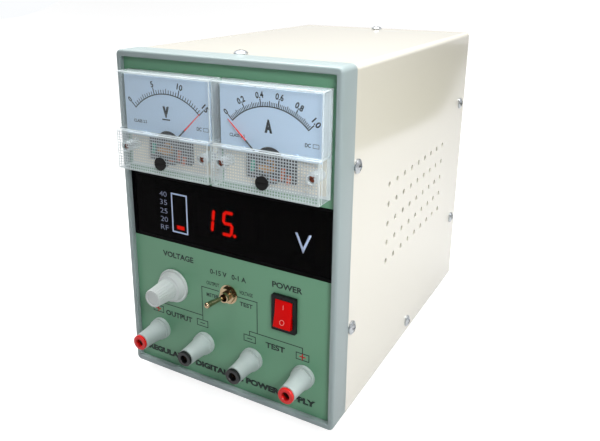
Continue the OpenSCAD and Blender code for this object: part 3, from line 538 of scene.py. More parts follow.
DIGIT_LEAN, DIGIT_MIDDLE, HALF_DIGIT, HALF_WIDE = 7.0, 106.5, 6.7, 3.0


def segment(name, x, z, length, thickness, upright):
    let_go()
    bpy.ops.mesh.primitive_circle_add(vertices=6, radius=thickness / 1732, fill_type="NGON",
                                      rotation=(0, 0, 0))
    piece = bpy.context.object
    piece.name = name
    mode("EDIT")
    bpy.ops.mesh.select_mode(type="VERT")
    for side in (-1, 1):
        bpy.ops.mesh.select_all(action="DESELECT")
        mode("OBJECT")
        for vertex in piece.data.vertices:
            vertex.select = vertex.co.y * side > thickness / 4000
        mode("EDIT")
        bpy.ops.transform.translate(value=(0, side * (length - thickness) / 2000, 0))
    mode("OBJECT")
    roll = DIGIT_LEAN if upright else 90
    piece.matrix_world = (Matrix.Translation(at(x, LED_FACE, z))
                          @ Matrix.Rotation(math.radians(roll), 4, "Y")
                          @ Matrix.Rotation(math.pi / 2, 4, "X"))
    return thicken(settle(piece))


LAYOUT = {"top": (0, 1, False), "middle": (0, 0, False), "bottom": (0, -1, False),
          "upper_left": (-1, 0.5, True), "upper_right": (1, 0.5, True),
          "lower_left": (-1, -0.5, True), "lower_right": (1, -0.5, True)}
SHOWN = {-14.3: ("upper_right", "lower_right"),
         -1.0: ("top", "upper_left", "middle", "lower_right", "bottom"),
         12.3: ()}
lit, unlit = [], []
for across, names in SHOWN.items():
    for key, (right, rise, upright) in LAYOUT.items():
        z = DIGIT_MIDDLE + rise * HALF_DIGIT
        x = across + right * HALF_WIDE + (z - DIGIT_MIDDLE) * math.tan(math.radians(DIGIT_LEAN))
        piece = segment(key, x, z, 6.3 if upright else 5.7, 2.0, upright)
        (lit if key in names else unlit).append(piece)
for group, x, radius in ((lit, 3.6, 1.1), (unlit, -9.7, 0.9), (unlit, 16.9, 0.9)):
    group.append(thicken(disc("point", x, 100, radius, LED_FACE, 24)))
BAR_FOOT, BAR_TALL, BAR_STEP = 95.8, 2.4, 3
for step in range(8):
    low = BAR_FOOT + step * BAR_STEP
    bar = thicken(patch("bar", -38.0, low, -32.4, low + BAR_TALL, LED_FACE))
    (unlit if step else lit).append(bar)


def glow(name, colour, strength, base):
    material = finish(name, base, 0.5, patch=0.3, patch_size=900, grain=3000)
    shader = shader_of(material)
    shader.inputs["Emission Color"].default_value = (*colour, 1)
    shader.inputs["Emission Strength"].default_value = strength
    return material


paint(gather("lit_segments", lit), glow("lit_red", (1.0, 0.010, 0.004), 26.0, (0.4, 0.02, 0.02)))
# the unlit segments glow faintly: a painted glow that keeps them just visible behind the window
paint(gather("unlit_segments", unlit), glow("unlit_red_painted_glow", (0.5, 0.42, 0.4), 0.03,
                                            (0.2, 0.19, 0.19)))
print("segments lit", len(lit), "unlit", len(unlit))

# %% [markdown]
# The window itself is see-through only a little. Its alpha lets a share of the light through
# and keeps a dark gloss. The bar's numbers, its white frame and the volt sign are printed on it.

# %% Smoky window and its print
def see_through(name, colour, flat, edge, roughness=0.06, power=3.0, shine=0.5):
    """Plastic whose opacity grows towards grazing view, from flat to edge."""
    material, tree, shader, _ = patchy(name, colour, roughness, 0.05, 40, roughness * 0.8)
    material.diffuse_color = (*colour, 0.5)
    facing = add_node(tree, "ShaderNodeLayerWeight", Blend=0.5)
    raised = calc(tree, "POWER", facing.outputs["Facing"], power)
    alpha = calc(tree, "MULTIPLY_ADD", raised, edge - flat, flat)
    wire(alpha, shader.inputs["Alpha"])
    shader.inputs["IOR"].default_value = 1.49
    shader.inputs["Specular IOR Level"].default_value = shine
    return material, alpha


smoky, _ = see_through("smoky_acrylic", srgb(4, 3, 4), 0.84, 0.97, roughness=0.2, shine=0.03)
wear(smoky, "display_window")
white_ink = finish("white_ink", srgb(190, 206, 238), 0.4, patch=0.06, grain=4000, depth=0.000002)
dim_ink = finish("dim_ink", srgb(132, 142, 170), 0.4, patch=0.06, grain=4000, depth=0.000002)
dim = [words("label", text, -44.2, z, FILM, 3.2, wide, heavy=-0.05)
       for text, z, wide in [("40", 118.1, 5.4), ("35", 113, 5.4), ("25", 107.6, 5.4),
                             ("20", 102.3, 5.4), ("RF", 97, 5.8)]]
paint(gather("window_lettering", dim), dim_ink)
scale_frame = outline("scale_frame", -38.3, 95.4, -26.6, 120, 0.9, FILM)
paint(scale_frame, white_ink)
volts = words("volts_mark", "V", 49.5, 107.1, FILM, 11, 9.8, heavy=-0.02)
paint(volts, white_ink)
wear(finish("display_body", srgb(84, 80, 74), 0.4, patch=0.1, grain=2000), "led_display")
print("window print done")

# %% [markdown]
# Each meter has a card with a printed arc. The arc is spun from one short edge about the
# pointer's pivot. One tick is modelled upright and its copies are turned round the same pivot,
# long ones at the numbers. The numbers follow the arc.

# %% Meter scales
PIVOT = 148.2
METERS = {"voltmeter": -32.9, "ammeter": 32.9}
CARD_FACE = -3.0
HALF_SCALE = 45.6
ARC_RADIUS = 31.0


def arc(name, x, radius, width, half):
    let_go()
    bpy.ops.mesh.primitive_plane_add(size=1, location=at(x, CARD_FACE, PIVOT + radius),
                                     rotation=(math.pi / 2, 0, 0))
    piece = bpy.context.object
    piece.name = name
    piece.scale = (0.0002, width / 1000, 1)
    settle(piece)
    turned(piece, x, PIVOT, -half)
    take(piece)
    mode("EDIT")
    bpy.ops.mesh.select_mode(type="VERT")
    bpy.ops.mesh.select_all(action="SELECT")
    bpy.ops.mesh.delete(type="ONLY_FACE")
    bpy.ops.mesh.select_all(action="DESELECT")
    mode("OBJECT")
    pivot = at(x, CARD_FACE, PIVOT)
    ordered = sorted(piece.data.vertices, key=lambda v: math.atan2(v.co.x - pivot.x,
                                                                   v.co.z - pivot.z))
    for vertex in ordered[:2]:
        vertex.select = True
    mode("EDIT")
    bpy.ops.mesh.delete(type="VERT")
    bpy.ops.mesh.select_all(action="SELECT")
    bpy.ops.mesh.spin(steps=64, angle=math.radians(-2 * half), center=pivot, axis=(0, 1, 0))
    bpy.ops.mesh.select_all(action="SELECT")
    bpy.ops.mesh.remove_doubles(threshold=1e-6)
    bpy.ops.mesh.normals_make_consistent(inside=False)
    mode("OBJECT")
    return thicken(settle(piece))


def scale_print(name, x, steps, every_medium, every_long, labels, letter, underline):
    pieces = [arc("arc", x, ARC_RADIUS, 0.55, HALF_SCALE)]
    for step in range(steps + 1):
        angle = -HALF_SCALE + 2 * HALF_SCALE * step / steps
        reach, width = (2.1, 0.42)
        if step % every_medium == 0:
            reach, width = (2.7, 0.46)
        if step % every_long == 0:
            reach, width = (3.7, 0.58)
        foot = PIVOT + ARC_RADIUS
        tick = stroke("tick", x, foot, x, foot + reach, width, CARD_FACE)
        pieces.append(turned(tick, x, PIVOT, angle))
    for share, text in labels:
        angle = -HALF_SCALE + 2 * HALF_SCALE * share
        label = words("number", text, x, PIVOT + 36.9, CARD_FACE, 3.4,
                      1.9 * len(text) if "." not in text else 4.7, heavy=0.3)
        pieces.append(turned(label, x, PIVOT, angle))
    pieces.append(words("letter", letter, x - 0.65, 169.2, CARD_FACE,
                        6.4 if underline else 7.0, 4.5, heavy=0.9))
    if underline:
        pieces.append(stroke("underline", x - 3.1, 165, x + 1.7, 165, 0.7, CARD_FACE))
    pieces.append(words("note", "CLASS 2.5", x - 19.5, 162.2, CARD_FACE, 1.8, 9.5,
                        heavy=0.2))
    pieces.append(words("note", "DC", x + 21.8, 162.4, CARD_FACE, 2.0, 3.2, heavy=0.2))
    pieces.append(outline("note", x + 24.6, 161.3, x + 28, 163.4, 0.2, CARD_FACE))
    print(name, "print pieces", len(pieces))
    return gather(name, pieces)


scale_ink = finish("scale_ink", srgb(14, 16, 24), 0.45, patch=0.06, grain=4000, depth=0.000002)
volt_scale = scale_print("volt_scale", METERS["voltmeter"], 30, 5, 10,
                         [(0, "0"), (1 / 3, "5"), (2 / 3, "10"), (1, "15")], "V", True)
amp_scale = scale_print("amp_scale", METERS["ammeter"], 50, 5, 10,
                        [(0, "0"), (0.2, "0.2"), (0.4, "0.4"), (0.6, "0.6"), (0.8, "0.8"),
                         (1, "1.0")], "A", False)
for piece in (volt_scale, amp_scale):
    paint(piece, scale_ink)
card_white = finish("card_white", srgb(205, 228, 250), 0.45, patch=0.03, grain=1200,
                    depth=0.000002)
wear(card_white, "voltmeter_dial", "ammeter_dial")

# %% [markdown]
# The pointer's outer half is dipped in red lacquer. One material does both colours: the distance
# from the pivot in the card's plane decides which. The absolute value of x folds the two meters
# onto each other, so that the same material serves both.

# %% Pointer finish
DIP_START = 0.0183
pointer = finish("pointer", srgb(40, 40, 44), 0.4, patch=0.02)
tree = pointer.node_tree
place = next(n for n in tree.nodes if n.type == "TEX_COORD")
patches = next(n for n in tree.nodes if n.type == "GROUP" and n.node_tree == patch_group)
split = tree.nodes.new("ShaderNodeSeparateXYZ")
join = tree.nodes.new("ShaderNodeCombineXYZ")
away = add_node(tree, "ShaderNodeVectorMath", operation="DISTANCE")
away.inputs[1].default_value = (METERS["ammeter"] / 1000, 0, CASE_FOOT + PIVOT / 1000)
lacquer = add_node(tree, "ShaderNodeMix", data_type="RGBA")
lacquer.inputs[7].default_value = (*srgb(255, 48, 26), 1)
wire(place.outputs["Object"], split.inputs[0])
wire(calc(tree, "ABSOLUTE", split.outputs["X"]), join.inputs["X"])
wire(split.outputs["Z"], join.inputs["Z"])
wire(join.outputs[0], away.inputs[0])
wire(calc(tree, "GREATER_THAN", away.outputs["Value"], DIP_START), lacquer.inputs[0])
wire(patches.outputs["Colour"], lacquer.inputs[6])
wire(lacquer.outputs[2], shader_of(pointer).inputs["Base Color"])
wear(pointer, "voltmeter_needle", "ammeter_needle")
print("pointer finish ready")

# %% [markdown]
# A meter's cover is clear acrylic in one piece: a tall window with a thicker block across its
# foot. Two softened blocks are fused, hollowed from behind, and drilled for the screws and the
# adjuster. The material's alpha is low face-on and rises at grazing angles, so edges look solid.
# Its shadow is kept weak, so that the card stays bright. A fine grid is moulded on the block.

# %% Meter covers
METER_FOOT, BLOCK_TOP, METER_TOP = 134.3, 157.3, 190.3
SCREW_ACROSS, SCREW_Z, ADJUSTER_Z = 26.9, METER_FOOT + 13.1, METER_FOOT + 7.3
SCREW_HOLE = 0.0022
EDGE_FACE = 3e-5


def meter_cover(name, x):
    upper = block(name, at(x - 32, -7.2, METER_FOOT), at(x + 32, 1.9, METER_TOP))
    upper.data.materials.append(acrylic)
    upper.data.materials.append(acrylic_painted_highlight)
    lower = block("lower", at(x - 32, -9.9, METER_FOOT), at(x + 32, 1.9, BLOCK_TOP))
    fuse_on(upper, lower)
    pick_edges(upper, lambda a, b: max(a.y, b.y) < FRONT - 0.007 or abs(a.y - b.y) > 0.005)
    bpy.ops.mesh.bevel(offset=0.0006, segments=3)
    bpy.ops.mesh.select_mode(type="FACE")
    mode("OBJECT")
    # the narrow faces that the bevel made get the whiter acrylic, a painted highlight on the edges
    for face in upper.data.polygons:
        face.material_index = int(face.select and face.area < EDGE_FACE)
    behind_window = block("hollow", at(x - 30.5, -5.7, METER_FOOT + 21.5),
                          at(x + 30.5, 3, METER_TOP - 1.5))
    behind_block = block("hollow", at(x - 30.5, -8.4, METER_FOOT + 1.5),
                         at(x + 30.5, 3, BLOCK_TOP - 1.5))
    screws = (x - SCREW_ACROSS, x + SCREW_ACROSS)
    holes = [rod("hole", at(hole_x, -20, hole_z), at(hole_x, 0, hole_z), SCREW_HOLE)
             for hole_x, hole_z in ((x, ADJUSTER_Z), *((place, SCREW_Z) for place in screws))]
    cut(upper, behind_window, behind_block, *holes)
    # screw wells are short tubes behind the block's front, in the same whiter acrylic
    for screw_x in screws:
        well = rod("well", at(screw_x, -8.45, SCREW_Z), at(screw_x, 1.8, SCREW_Z), 0.0031)
        well.data.materials.append(acrylic_painted_highlight)
        cut(well, rod("bore", at(screw_x, -9, SCREW_Z), at(screw_x, -5.9, SCREW_Z), SCREW_HOLE))
        upper = gather(name, [upper, well])
    return smooth(upper, 30)


acrylic, opacity = see_through("clear_acrylic", srgb(226, 236, 240), 0.02, 0.7, roughness=0.05,
                               power=2.1)
# a whiter, more opaque acrylic for the bevels and the screw wells: a painted highlight
acrylic_painted_highlight, _ = see_through("acrylic_painted_highlight", srgb(232, 242, 244), 0.5, 0.9, roughness=0.1,
                              power=1.5)
GRID_PITCH, GRID_ALPHA, SHADOW_LEFT_OUT = 0.0016, 0.55, 0.85
tree = acrylic.node_tree
shader = shader_of(acrylic)
place = next(n for n in tree.nodes if n.type == "TEX_COORD")
split = tree.nodes.new("ShaderNodeSeparateXYZ")
wire(place.outputs["Object"], split.inputs[0])
lines = []
for axis in ("X", "Z"):
    count = calc(tree, "MULTIPLY", split.outputs[axis], 1 / GRID_PITCH)
    ridge = add_node(tree, "ShaderNodeMapRange", interpolation_type="SMOOTHSTEP",
                     Value=calc(tree, "PINGPONG", count, 0.5))
    ridge.inputs["From Min"].default_value = 0.13
    ridge.inputs["From Max"].default_value = 0.27
    lines.append(ridge.outputs[0])
ribs = calc(tree, "SUBTRACT", 1.0, calc(tree, "MINIMUM", *lines))
on_front = calc(tree, "LESS_THAN", split.outputs["Y"], FRONT - 0.0098)
masked = calc(tree, "MULTIPLY", ribs, on_front)
grid_alpha = calc(tree, "MULTIPLY_ADD", masked, GRID_ALPHA, opacity, use_clamp=True)
ray = add_node(tree, "ShaderNodeLightPath")
shadow_share = calc(tree, "MULTIPLY_ADD", ray.outputs["Is Shadow Ray"], -SHADOW_LEFT_OUT, 1.0)
wire(calc(tree, "MULTIPLY", grid_alpha, shadow_share), shader.inputs["Alpha"])
grid_bump = add_node(tree, "ShaderNodeBump", Strength=0.6, Distance=0.00012, Height=masked)
wire(grid_bump.outputs["Normal"], shader.inputs["Normal"])
for name, x in METERS.items():
    cover = meter_cover(f"{name}_window", x)
    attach(cover, "case")
    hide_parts(f"{name}_cover")
    print(name, "cover faces", len(cover.data.polygons))

# %% [markdown]
# Through the ribbed block one sees the movement: a cream backing, the dark magnet, a brass
# bridge, the copper coil, a hairspring and small resistors. The hairspring is a flat
# spiral, made by spinning a short edge round the pivot while it also moves outwards.

# %% Meter movements
backing_cream = finish("backing_cream", srgb(222, 218, 202), 0.55, patch=0.08, grain=1500)
magnet_black = finish("magnet_black", srgb(34, 34, 36), 0.5, patch=0.12, grain=1400,
                      depth=0.00002)
bridge_brass = finish("bridge_brass", srgb(188, 142, 78), 0.36, 1.0, patch=0.12, patch_size=180,
                      grain=3000, depth=0.000004, brush=(1, 1, 0.05))
copper = finish("coil_copper", srgb(190, 98, 52), 0.35, 1.0, patch=0.18, patch_size=260,
                grain=2600, depth=0.00001, brush=(0.04, 1, 1))
teal = finish("resistor_teal", srgb(40, 150, 128), 0.4, patch=0.15, patch_size=200)
wear(magnet_black, "voltmeter_movement", "ammeter_movement")


SPRING_DEPTH = -3.9
YOKE_Z = PIVOT + 1.2


def hairspring(name, x):
    let_go()
    bpy.ops.mesh.primitive_plane_add(size=1, location=at(x + 2.6, SPRING_DEPTH, PIVOT),
                                     rotation=(math.pi / 2, 0, 0))
    piece = bpy.context.object
    piece.name = name
    piece.scale = (0.00022, 0.00002, 1)
    settle(piece)
    take(piece)
    mode("EDIT")
    bpy.ops.mesh.select_mode(type="EDGE")
    bpy.ops.mesh.select_all(action="SELECT")
    bpy.ops.mesh.spin(steps=120, angle=math.radians(1500), center=at(x, SPRING_DEPTH, PIVOT),
                      axis=(0, 1, 0), dupli=False)
    mode("OBJECT")
    # each turn lies a little further out than the last
    pivot = at(x, SPRING_DEPTH, PIVOT)
    rings = max(1, len(piece.data.vertices) // 4)
    for vertex in piece.data.vertices:
        share = (vertex.index // 4) / rings
        vertex.co = pivot + (vertex.co - pivot) * (0.75 + 0.85 * share)
    return thicken(piece, 0.0003)


for name, x in METERS.items():
    backing = block(f"{name}_backing", at(x - 30, 0.9, METER_FOOT + 2),
                    at(x + 30, 1.85, BLOCK_TOP - 2))
    cut(backing, rod("hole", at(x, -3, YOKE_Z), at(x, 4, YOKE_Z), 0.0096),
        block("notch", at(x - 9.6, -1, YOKE_Z), at(x + 9.6, 4, BLOCK_TOP)))
    paint(soften(backing, 0.0002, 2), backing_cream)
    yoke = block(f"{name}_yoke", at(x - 14.6, -2.3, PIVOT - 7.5), at(x + 14.6, 0.5, PIVOT + 5.4))
    fuse_on(yoke, rod("shoe", at(x, -2.3, YOKE_Z), at(x, 0.5, YOKE_Z), 0.0106))
    cut(yoke, rod("gap", at(x, -4, YOKE_Z), at(x, 3, YOKE_Z), 0.00895))
    paint(smooth(soften(yoke, 0.0008, 3)), magnet_black)
    bridge = block(f"{name}_bridge", at(x - 4.6, -6.7, PIVOT - 1.2),
                   at(x + 4.6, -6.15, PIVOT + 1.2))
    fuse_on(bridge, rod("boss", at(x, -6.95, PIVOT), at(x, -6.1, PIVOT), 0.0021, 32))
    for side in (-1, 1):
        fuse_on(bridge, rod("post", at(x + side * 3.6, -6.5, PIVOT),
                            at(x + side * 3.6, -3.55, PIVOT), 0.0007, 24))
    paint(smooth(soften(bridge, 0.00012, 2)), bridge_brass)
    coil = block(f"{name}_coil", at(x - 4.4, -3.45, PIVOT - 6.6), at(x + 4.4, -4.42, PIVOT - 5.2))
    paint(soften(coil, 0.0003, 3), copper)
    paint(hairspring(f"{name}_hairspring", x), bridge_brass)
    for number, (dx, dz, length, material) in enumerate([
            (-8.8, 0.2, 5.6, teal), (8.9, -1.8, 6.5, copper), (12.2, -4.2, 5.0, copper)]):
        part = rod(f"{name}_resistor_{number}", at(x + dx, -5.7, PIVOT + dz - length / 2),
                   at(x + dx + 1.0, -5.7, PIVOT + dz + length / 2), 0.0011, 24)
        paint(smooth(soften(part, 0.0003, 2)), material)
print("movements dressed")

# %% [markdown]
# The voltage knob is grey plastic: a wide stepped skirt and a tapered, fluted grip. It is
# turned by spinning a profile, as on a lathe. The flutes are thin rods taken out of the grip.

# %% Voltage knob
KNOB_X, KNOB_Z = -38.8, 60.2


def lathe(name, x, z, profile, steps=72):
    """Spins a profile of (radius, depth) pairs about a line along Y."""
    let_go()
    bpy.ops.mesh.primitive_plane_add(size=0.001, location=at(x, 0, z))
    piece = bpy.context.object
    piece.name = name
    settle(piece)
    take(piece)
    mode("EDIT")
    bpy.ops.mesh.select_all(action="SELECT")
    bpy.ops.mesh.merge(type="CENTER")
    mode("OBJECT")
    piece.data.vertices[0].co = at(x + profile[0][0], profile[0][1], z)
    piece.data.vertices[0].select = True
    mode("EDIT")
    bpy.ops.mesh.select_mode(type="VERT")
    bpy.ops.mesh.select_all(action="SELECT")
    for (r0, y0), (r1, y1) in zip(profile, profile[1:]):
        bpy.ops.mesh.extrude_region_move(TRANSFORM_OT_translate={
            "value": ((r1 - r0) / 1000, (y1 - y0) / 1000, 0)})
    bpy.ops.mesh.select_all(action="SELECT")
    bpy.ops.mesh.spin(steps=steps, angle=2 * math.pi, center=at(x, 0, z), axis=(0, 1, 0))
    bpy.ops.mesh.select_all(action="SELECT")
    bpy.ops.mesh.remove_doubles(threshold=2e-6)
    bpy.ops.mesh.normals_make_consistent(inside=False)
    mode("OBJECT")
    return piece


knob = lathe("voltage_knob_turned", KNOB_X, KNOB_Z, [
    (0, -16.9), (3.95, -16.9), (4.05, -16.7), (4.3, -16.7), (4.4, -17.2), (4.55, -17.3),
    (4.85, -17.3), (5.25, -17.15), (5.5, -16.7), (6.55, -3.5), (6.6, -3.15), (7.0, -3.15),
    (7.15, -2.9), (8.0, -2.9), (8.35, -2.75), (8.5, -2.4), (9.2, 0.75), (9.3, 1.0), (10.1, 1.05),
    (10.5, 1.2), (10.6, 1.6), (10.6, 2.6), (10.4, 2.8), (7.6, 2.8), (7.6, -1.4), (3.05, -1.4),
    (3.05, -13.9), (0, -13.9)])
flutes = []
FLUTES = 24
for number in range(FLUTES):
    flute = rod("flute", at(KNOB_X + 5.58, -18, KNOB_Z), at(KNOB_X + 6.7, -3.7, KNOB_Z),
                0.00056, 12)
    flutes.append(turned(flute, KNOB_X, KNOB_Z, (number + 0.5) * 360 / FLUTES))
cut(knob, gather("flutes", flutes))
smooth(knob, 32)
knob_grey = finish("knob_grey", srgb(208, 214, 212), 0.42, patch=0.04, patch_size=60, grain=2400,
                   depth=0.000006)
paint(knob, knob_grey, "voltage_dial")
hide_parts("voltage_knob")
print("knob faces", len(knob.data.polygons))

# %% [markdown]
# The rocker is glossy red plastic. Seen from the side its face is a shallow V, so the measured
# button is copied, its loose triangles are merged, and its edges get a soft bevel. A copy keeps
# the right shape where a new one would only repeat it. The marks I and O are pale pink ink.

# %% Power rocker
def copy_measured(node, name):
    """A merged copy of a measured solid, ready to be shaped."""
    let_go()
    twin = nodes[node].copy()
    twin.data = nodes[node].data.copy()
    twin.name = name
    for key in list(twin.keys()):
        del twin[key]
    twin.parent = None
    bpy.context.scene.collection.objects.link(twin)
    take(twin)
    mode("EDIT")
    bpy.ops.mesh.select_all(action="SELECT")
    bpy.ops.mesh.remove_doubles(threshold=2e-6)
    bpy.ops.mesh.dissolve_limited(angle_limit=math.radians(1))
    mode("OBJECT")
    return twin


rocker = copy_measured("rocker_button", "rocker_face")
soften(rocker, 0.0004, 3, 25)
smooth(rocker, 30)
rocker_red = finish("rocker_red", srgb(225, 0, 0), 0.3, patch=0.04, patch_size=80, grain=2600,
                    depth=0.000004)
shader_of(rocker_red).inputs["Specular IOR Level"].default_value = 0.12
paint(rocker, rocker_red, "rocker")
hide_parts("rocker_button")
print("rocker faces", len(rocker.data.polygons))


def on_face(piece, hinge, tilt):
    """Tilts a flat print about a line along X, to lie on a leaning face."""
    piece.matrix_world = (Matrix.Translation(hinge) @ Matrix.Rotation(math.radians(tilt), 4, "X")
                          @ Matrix.Translation(-hinge))
    return settle(piece)


ROCKER_X, ROCKER_Z, LEAN, DISH = 38.9, 63.3, 10, 5.08
mark_ink = finish("mark_ink", srgb(236, 150, 140), 0.4, patch=0.05, grain=4000, depth=0.000002)
MARK_DEPTH = 0.47
on_mark = stroke("on_mark", ROCKER_X, ROCKER_Z + 3.2, ROCKER_X, ROCKER_Z + 5.6, 0.32, MARK_DEPTH)
off_mark = border(disc("off_mark", ROCKER_X, ROCKER_Z - 4.3, 1.55, MARK_DEPTH, 40), 0.34)
hinge = at(ROCKER_X, 0.5, ROCKER_Z)
on_face(on_mark, hinge, -LEAN + DISH)
on_face(off_mark, hinge, -LEAN - DISH)
paint(gather("rocker_marks", [on_mark, off_mark]), mark_ink, "rocker")
print("rocker marks done")

# %% [markdown]
# The other measured parts keep their shape and get their own finish: painted steel with a fine
# orange peel for the cover, bright zinc for the screws, nickel with a warm cast for the toggle,
# grey and coloured plastic for the posts.

# %% Finishes outside
cover_paint = finish("cover_paint", srgb(236, 231, 216), 0.4, patch=0.02, patch_size=9,
                     gloss=0.06, grain=1300, depth=0.000004, coat=1.0, coat_roughness=0.09)
shader_of(cover_paint).inputs["Coat IOR"].default_value = 1.8
wear(cover_paint, "cover")
zinc = finish("zinc", srgb(196, 200, 204), 0.26, 1.0, patch=0.12, patch_size=220, gloss=0.2,
              grain=2600, depth=0.000004, brush=(1, 0.06, 1))
wear(zinc, "cover_screws", "chassis_screws")
rubber = finish("foot_rubber", srgb(34, 34, 34), 0.75, patch=0.15, patch_size=70, grain=1700,
                depth=0.00003)
wear(rubber, "feet")
black_plastic = finish("black_plastic", srgb(14, 14, 15), 0.4, patch=0.1, patch_size=60,
                       grain=2200, depth=0.000006)
shader_of(black_plastic).inputs["Specular IOR Level"].default_value = 0.2
wear(black_plastic, "rocker_frame", "voltmeter_zero", "ammeter_zero", "inlet_body",
     "selector_body", "fuse_drawer")
# the meter bases are pale grey, made lighter to lift the shade between the two covers: partly
# painted light
meter_base_painted_light = finish("meter_base_grey", srgb(224, 232, 232), 0.35, patch=0.05, patch_size=50,
                    grain=2200, depth=0.000006)
wear(meter_base_painted_light, "voltmeter_base", "ammeter_base")
post_grey = finish("post_grey", srgb(186, 197, 195), 0.36, patch=0.05, patch_size=90,
                   grain=2200, depth=0.000006)
wear(post_grey, "output_plus_cap", "output_minus_cap", "test_minus_cap", "test_plus_cap",
     "post_flanges")
ring_red = finish("ring_red", srgb(226, 24, 22), 0.34, patch=0.06, patch_size=120)
ring_black = finish("ring_black", srgb(20, 20, 22), 0.3, patch=0.1, patch_size=120)
wear(ring_red, "output_plus_ring", "test_plus_ring")
wear(ring_black, "output_minus_ring", "test_minus_ring")
stud_brass = finish("stud_brass", srgb(190, 158, 96), 0.32, 1.0, patch=0.15, patch_size=160,
                    grain=2400, depth=0.00001, brush=(1, 0.08, 1))
wear(stud_brass, "meter_studs")
wear(finish("stud_dark", srgb(86, 62, 44), 0.4, 0.8, patch=0.2, patch_size=160, grain=2400,
            depth=0.00001, brush=(1, 0.08, 1)), "post_studs")
wear(finish("dark_copper", srgb(118, 60, 44), 0.38, 0.8, patch=0.25, patch_size=300, grain=2600,
            depth=0.00001), "meter_screws")
nickel = finish("warm_nickel", srgb(178, 158, 128), 0.2, 1.0, patch=0.14, patch_size=240,
                gloss=0.15, grain=2600, depth=0.000004, brush=(1, 0.1, 1))
wear(nickel, "toggle_lever", "toggle_bushing", "panel_nuts")
print("outside finishes done")

# %% [markdown]
# What sits behind the panel and inside the case gets workshop finishes: bare steel, anodised
# aluminium, laminations, winding tape, board green and tinned brass.

# %% Finishes behind and inside
bare_steel = finish("bare_steel", srgb(178, 180, 182), 0.38, 1.0, patch=0.1, patch_size=20,
                    gloss=0.16, grain=900, depth=0.000006, brush=(1, 1, 0.03))
wear(bare_steel, "front_panel", "front_bracket", "chassis_tray", "rear_panel")
anodised = finish("black_anodised", srgb(26, 26, 29), 0.42, 0.5, patch=0.14, patch_size=40,
                  grain=1500, depth=0.00001, brush=(1, 1, 0.04))
wear(anodised, "heat_sink")
wear(finish("transistor_can", srgb(188, 190, 193), 0.28, 1.0, patch=0.1, patch_size=90,
            grain=1800, depth=0.000006, brush=(1, 0.2, 1)), "power_transistor")
wear(finish("lamination_steel", srgb(92, 92, 98), 0.5, 0.8, patch=0.15, patch_size=40,
            grain=1500, depth=0.00009, brush=(1, 0.03, 0.03)), "transformer_core")
wear(finish("winding_tape", srgb(206, 176, 88), 0.4, patch=0.12, patch_size=60, grain=700,
            depth=0.00004, brush=(0.05, 0.05, 1)), "transformer_coil")
wear(finish("board_green", srgb(36, 92, 58), 0.32, patch=0.3, patch_size=130, grain=500,
            depth=0.00003, brush=(0.1, 1, 1)), "main_board", "display_board")
wear(finish("can_sleeve", srgb(30, 42, 66), 0.3, patch=0.12, patch_size=60, grain=1400),
     "capacitors")
wear(finish("part_epoxy", srgb(38, 38, 42), 0.45, patch=0.15, patch_size=100, grain=1500,
            depth=0.00002), "board_parts")
wear(finish("phenolic_blue", srgb(32, 58, 120), 0.38, patch=0.12, patch_size=80), "toggle_body")
wear(finish("pot_metal", srgb(150, 152, 150), 0.4, 0.9, patch=0.14, patch_size=80,
            brush=(1, 0.1, 1)), "pot_body")
wear(finish("shaft_aluminium", srgb(200, 202, 206), 0.25, 1.0, patch=0.08, patch_size=120,
            brush=(1, 0.05, 1)), "pot_shaft")
wear(finish("tinned_brass", srgb(204, 196, 168), 0.34, 1.0, patch=0.15, patch_size=200,
            brush=(1, 1, 0.1)), "solder_lugs", "inlet_pins")
wear(finish("fuse_glass", srgb(206, 220, 220), 0.08, patch=0.04, patch_size=200), "fuse")
wear(finish("selector_red", srgb(196, 26, 24), 0.35, patch=0.08, patch_size=120),
     "selector_slider")
dressed = [n for n, o in nodes.items() if o.data.materials and o.data.materials[0].use_nodes]
print("nodes", len(nodes), "with materials", len(dressed))

# %% [markdown]
# The back carries plain functional print: what the inlet, the selector and the fuse are. It is
# lettering on bare steel, turned to face backwards.

# %% Rear print
BACK = (REAR - FRONT) * 1000
rear = [words("label", text, -42, z, BACK, 3.2, wide, back=True, heavy=0.08)
        for text, z, wide in [("AC INPUT", 64.5, 17), ("115 / 230 V", 97.5, 20),
                              ("FUSE 2 A", 17.5, 16)]]
paint(gather("rear_lettering", rear), panel_ink)
print("rear print done")

# %% [markdown]
# The studio floor is one plane whose far edge is extruded upwards and rounded, so no corner
# shows. It glows a little for the camera and in reflections. An olive card lies to the right,
# where only the glossy side wall shows it.

# %% Studio floor
let_go()
bpy.ops.mesh.primitive_plane_add(size=6, location=(0, 0, 0))
floor = bpy.context.object
floor.name = "studio_floor"
settle(floor)
pick_edges(floor, lambda a, b: a.y > 2.9 and b.y > 2.9)
bpy.ops.mesh.extrude_region_move(TRANSFORM_OT_translate={"value": (0, 0, 3)})
mode("OBJECT")
pick_edges(floor, lambda a, b: a.y > 2.9 and b.y > 2.9 and a.z < 0.1 and b.z < 0.1)
bpy.ops.mesh.bevel(offset=1.0, segments=12)
mode("OBJECT")
smooth(floor, 60)
paper = finish("floor_paper", srgb(150, 150, 150), 0.8, patch=0.004, patch_size=3, grain=300,
               depth=0.00002)
paper_shader = shader_of(paper)
FLOOR_SEEN, FLOOR_MIRRORED = 0.87, 0.45
seen = paper.node_tree.nodes.new("ShaderNodeLightPath")
mirrored = calc(paper.node_tree, "MULTIPLY", seen.outputs["Is Glossy Ray"], FLOOR_MIRRORED)
lift = calc(paper.node_tree, "MULTIPLY_ADD", seen.outputs["Is Camera Ray"], FLOOR_SEEN, mirrored)
wire(lift, paper_shader.inputs["Emission Strength"])
paper_shader.inputs["Emission Color"].default_value = (1, 1, 1, 1)
floor.data.materials.append(paper)

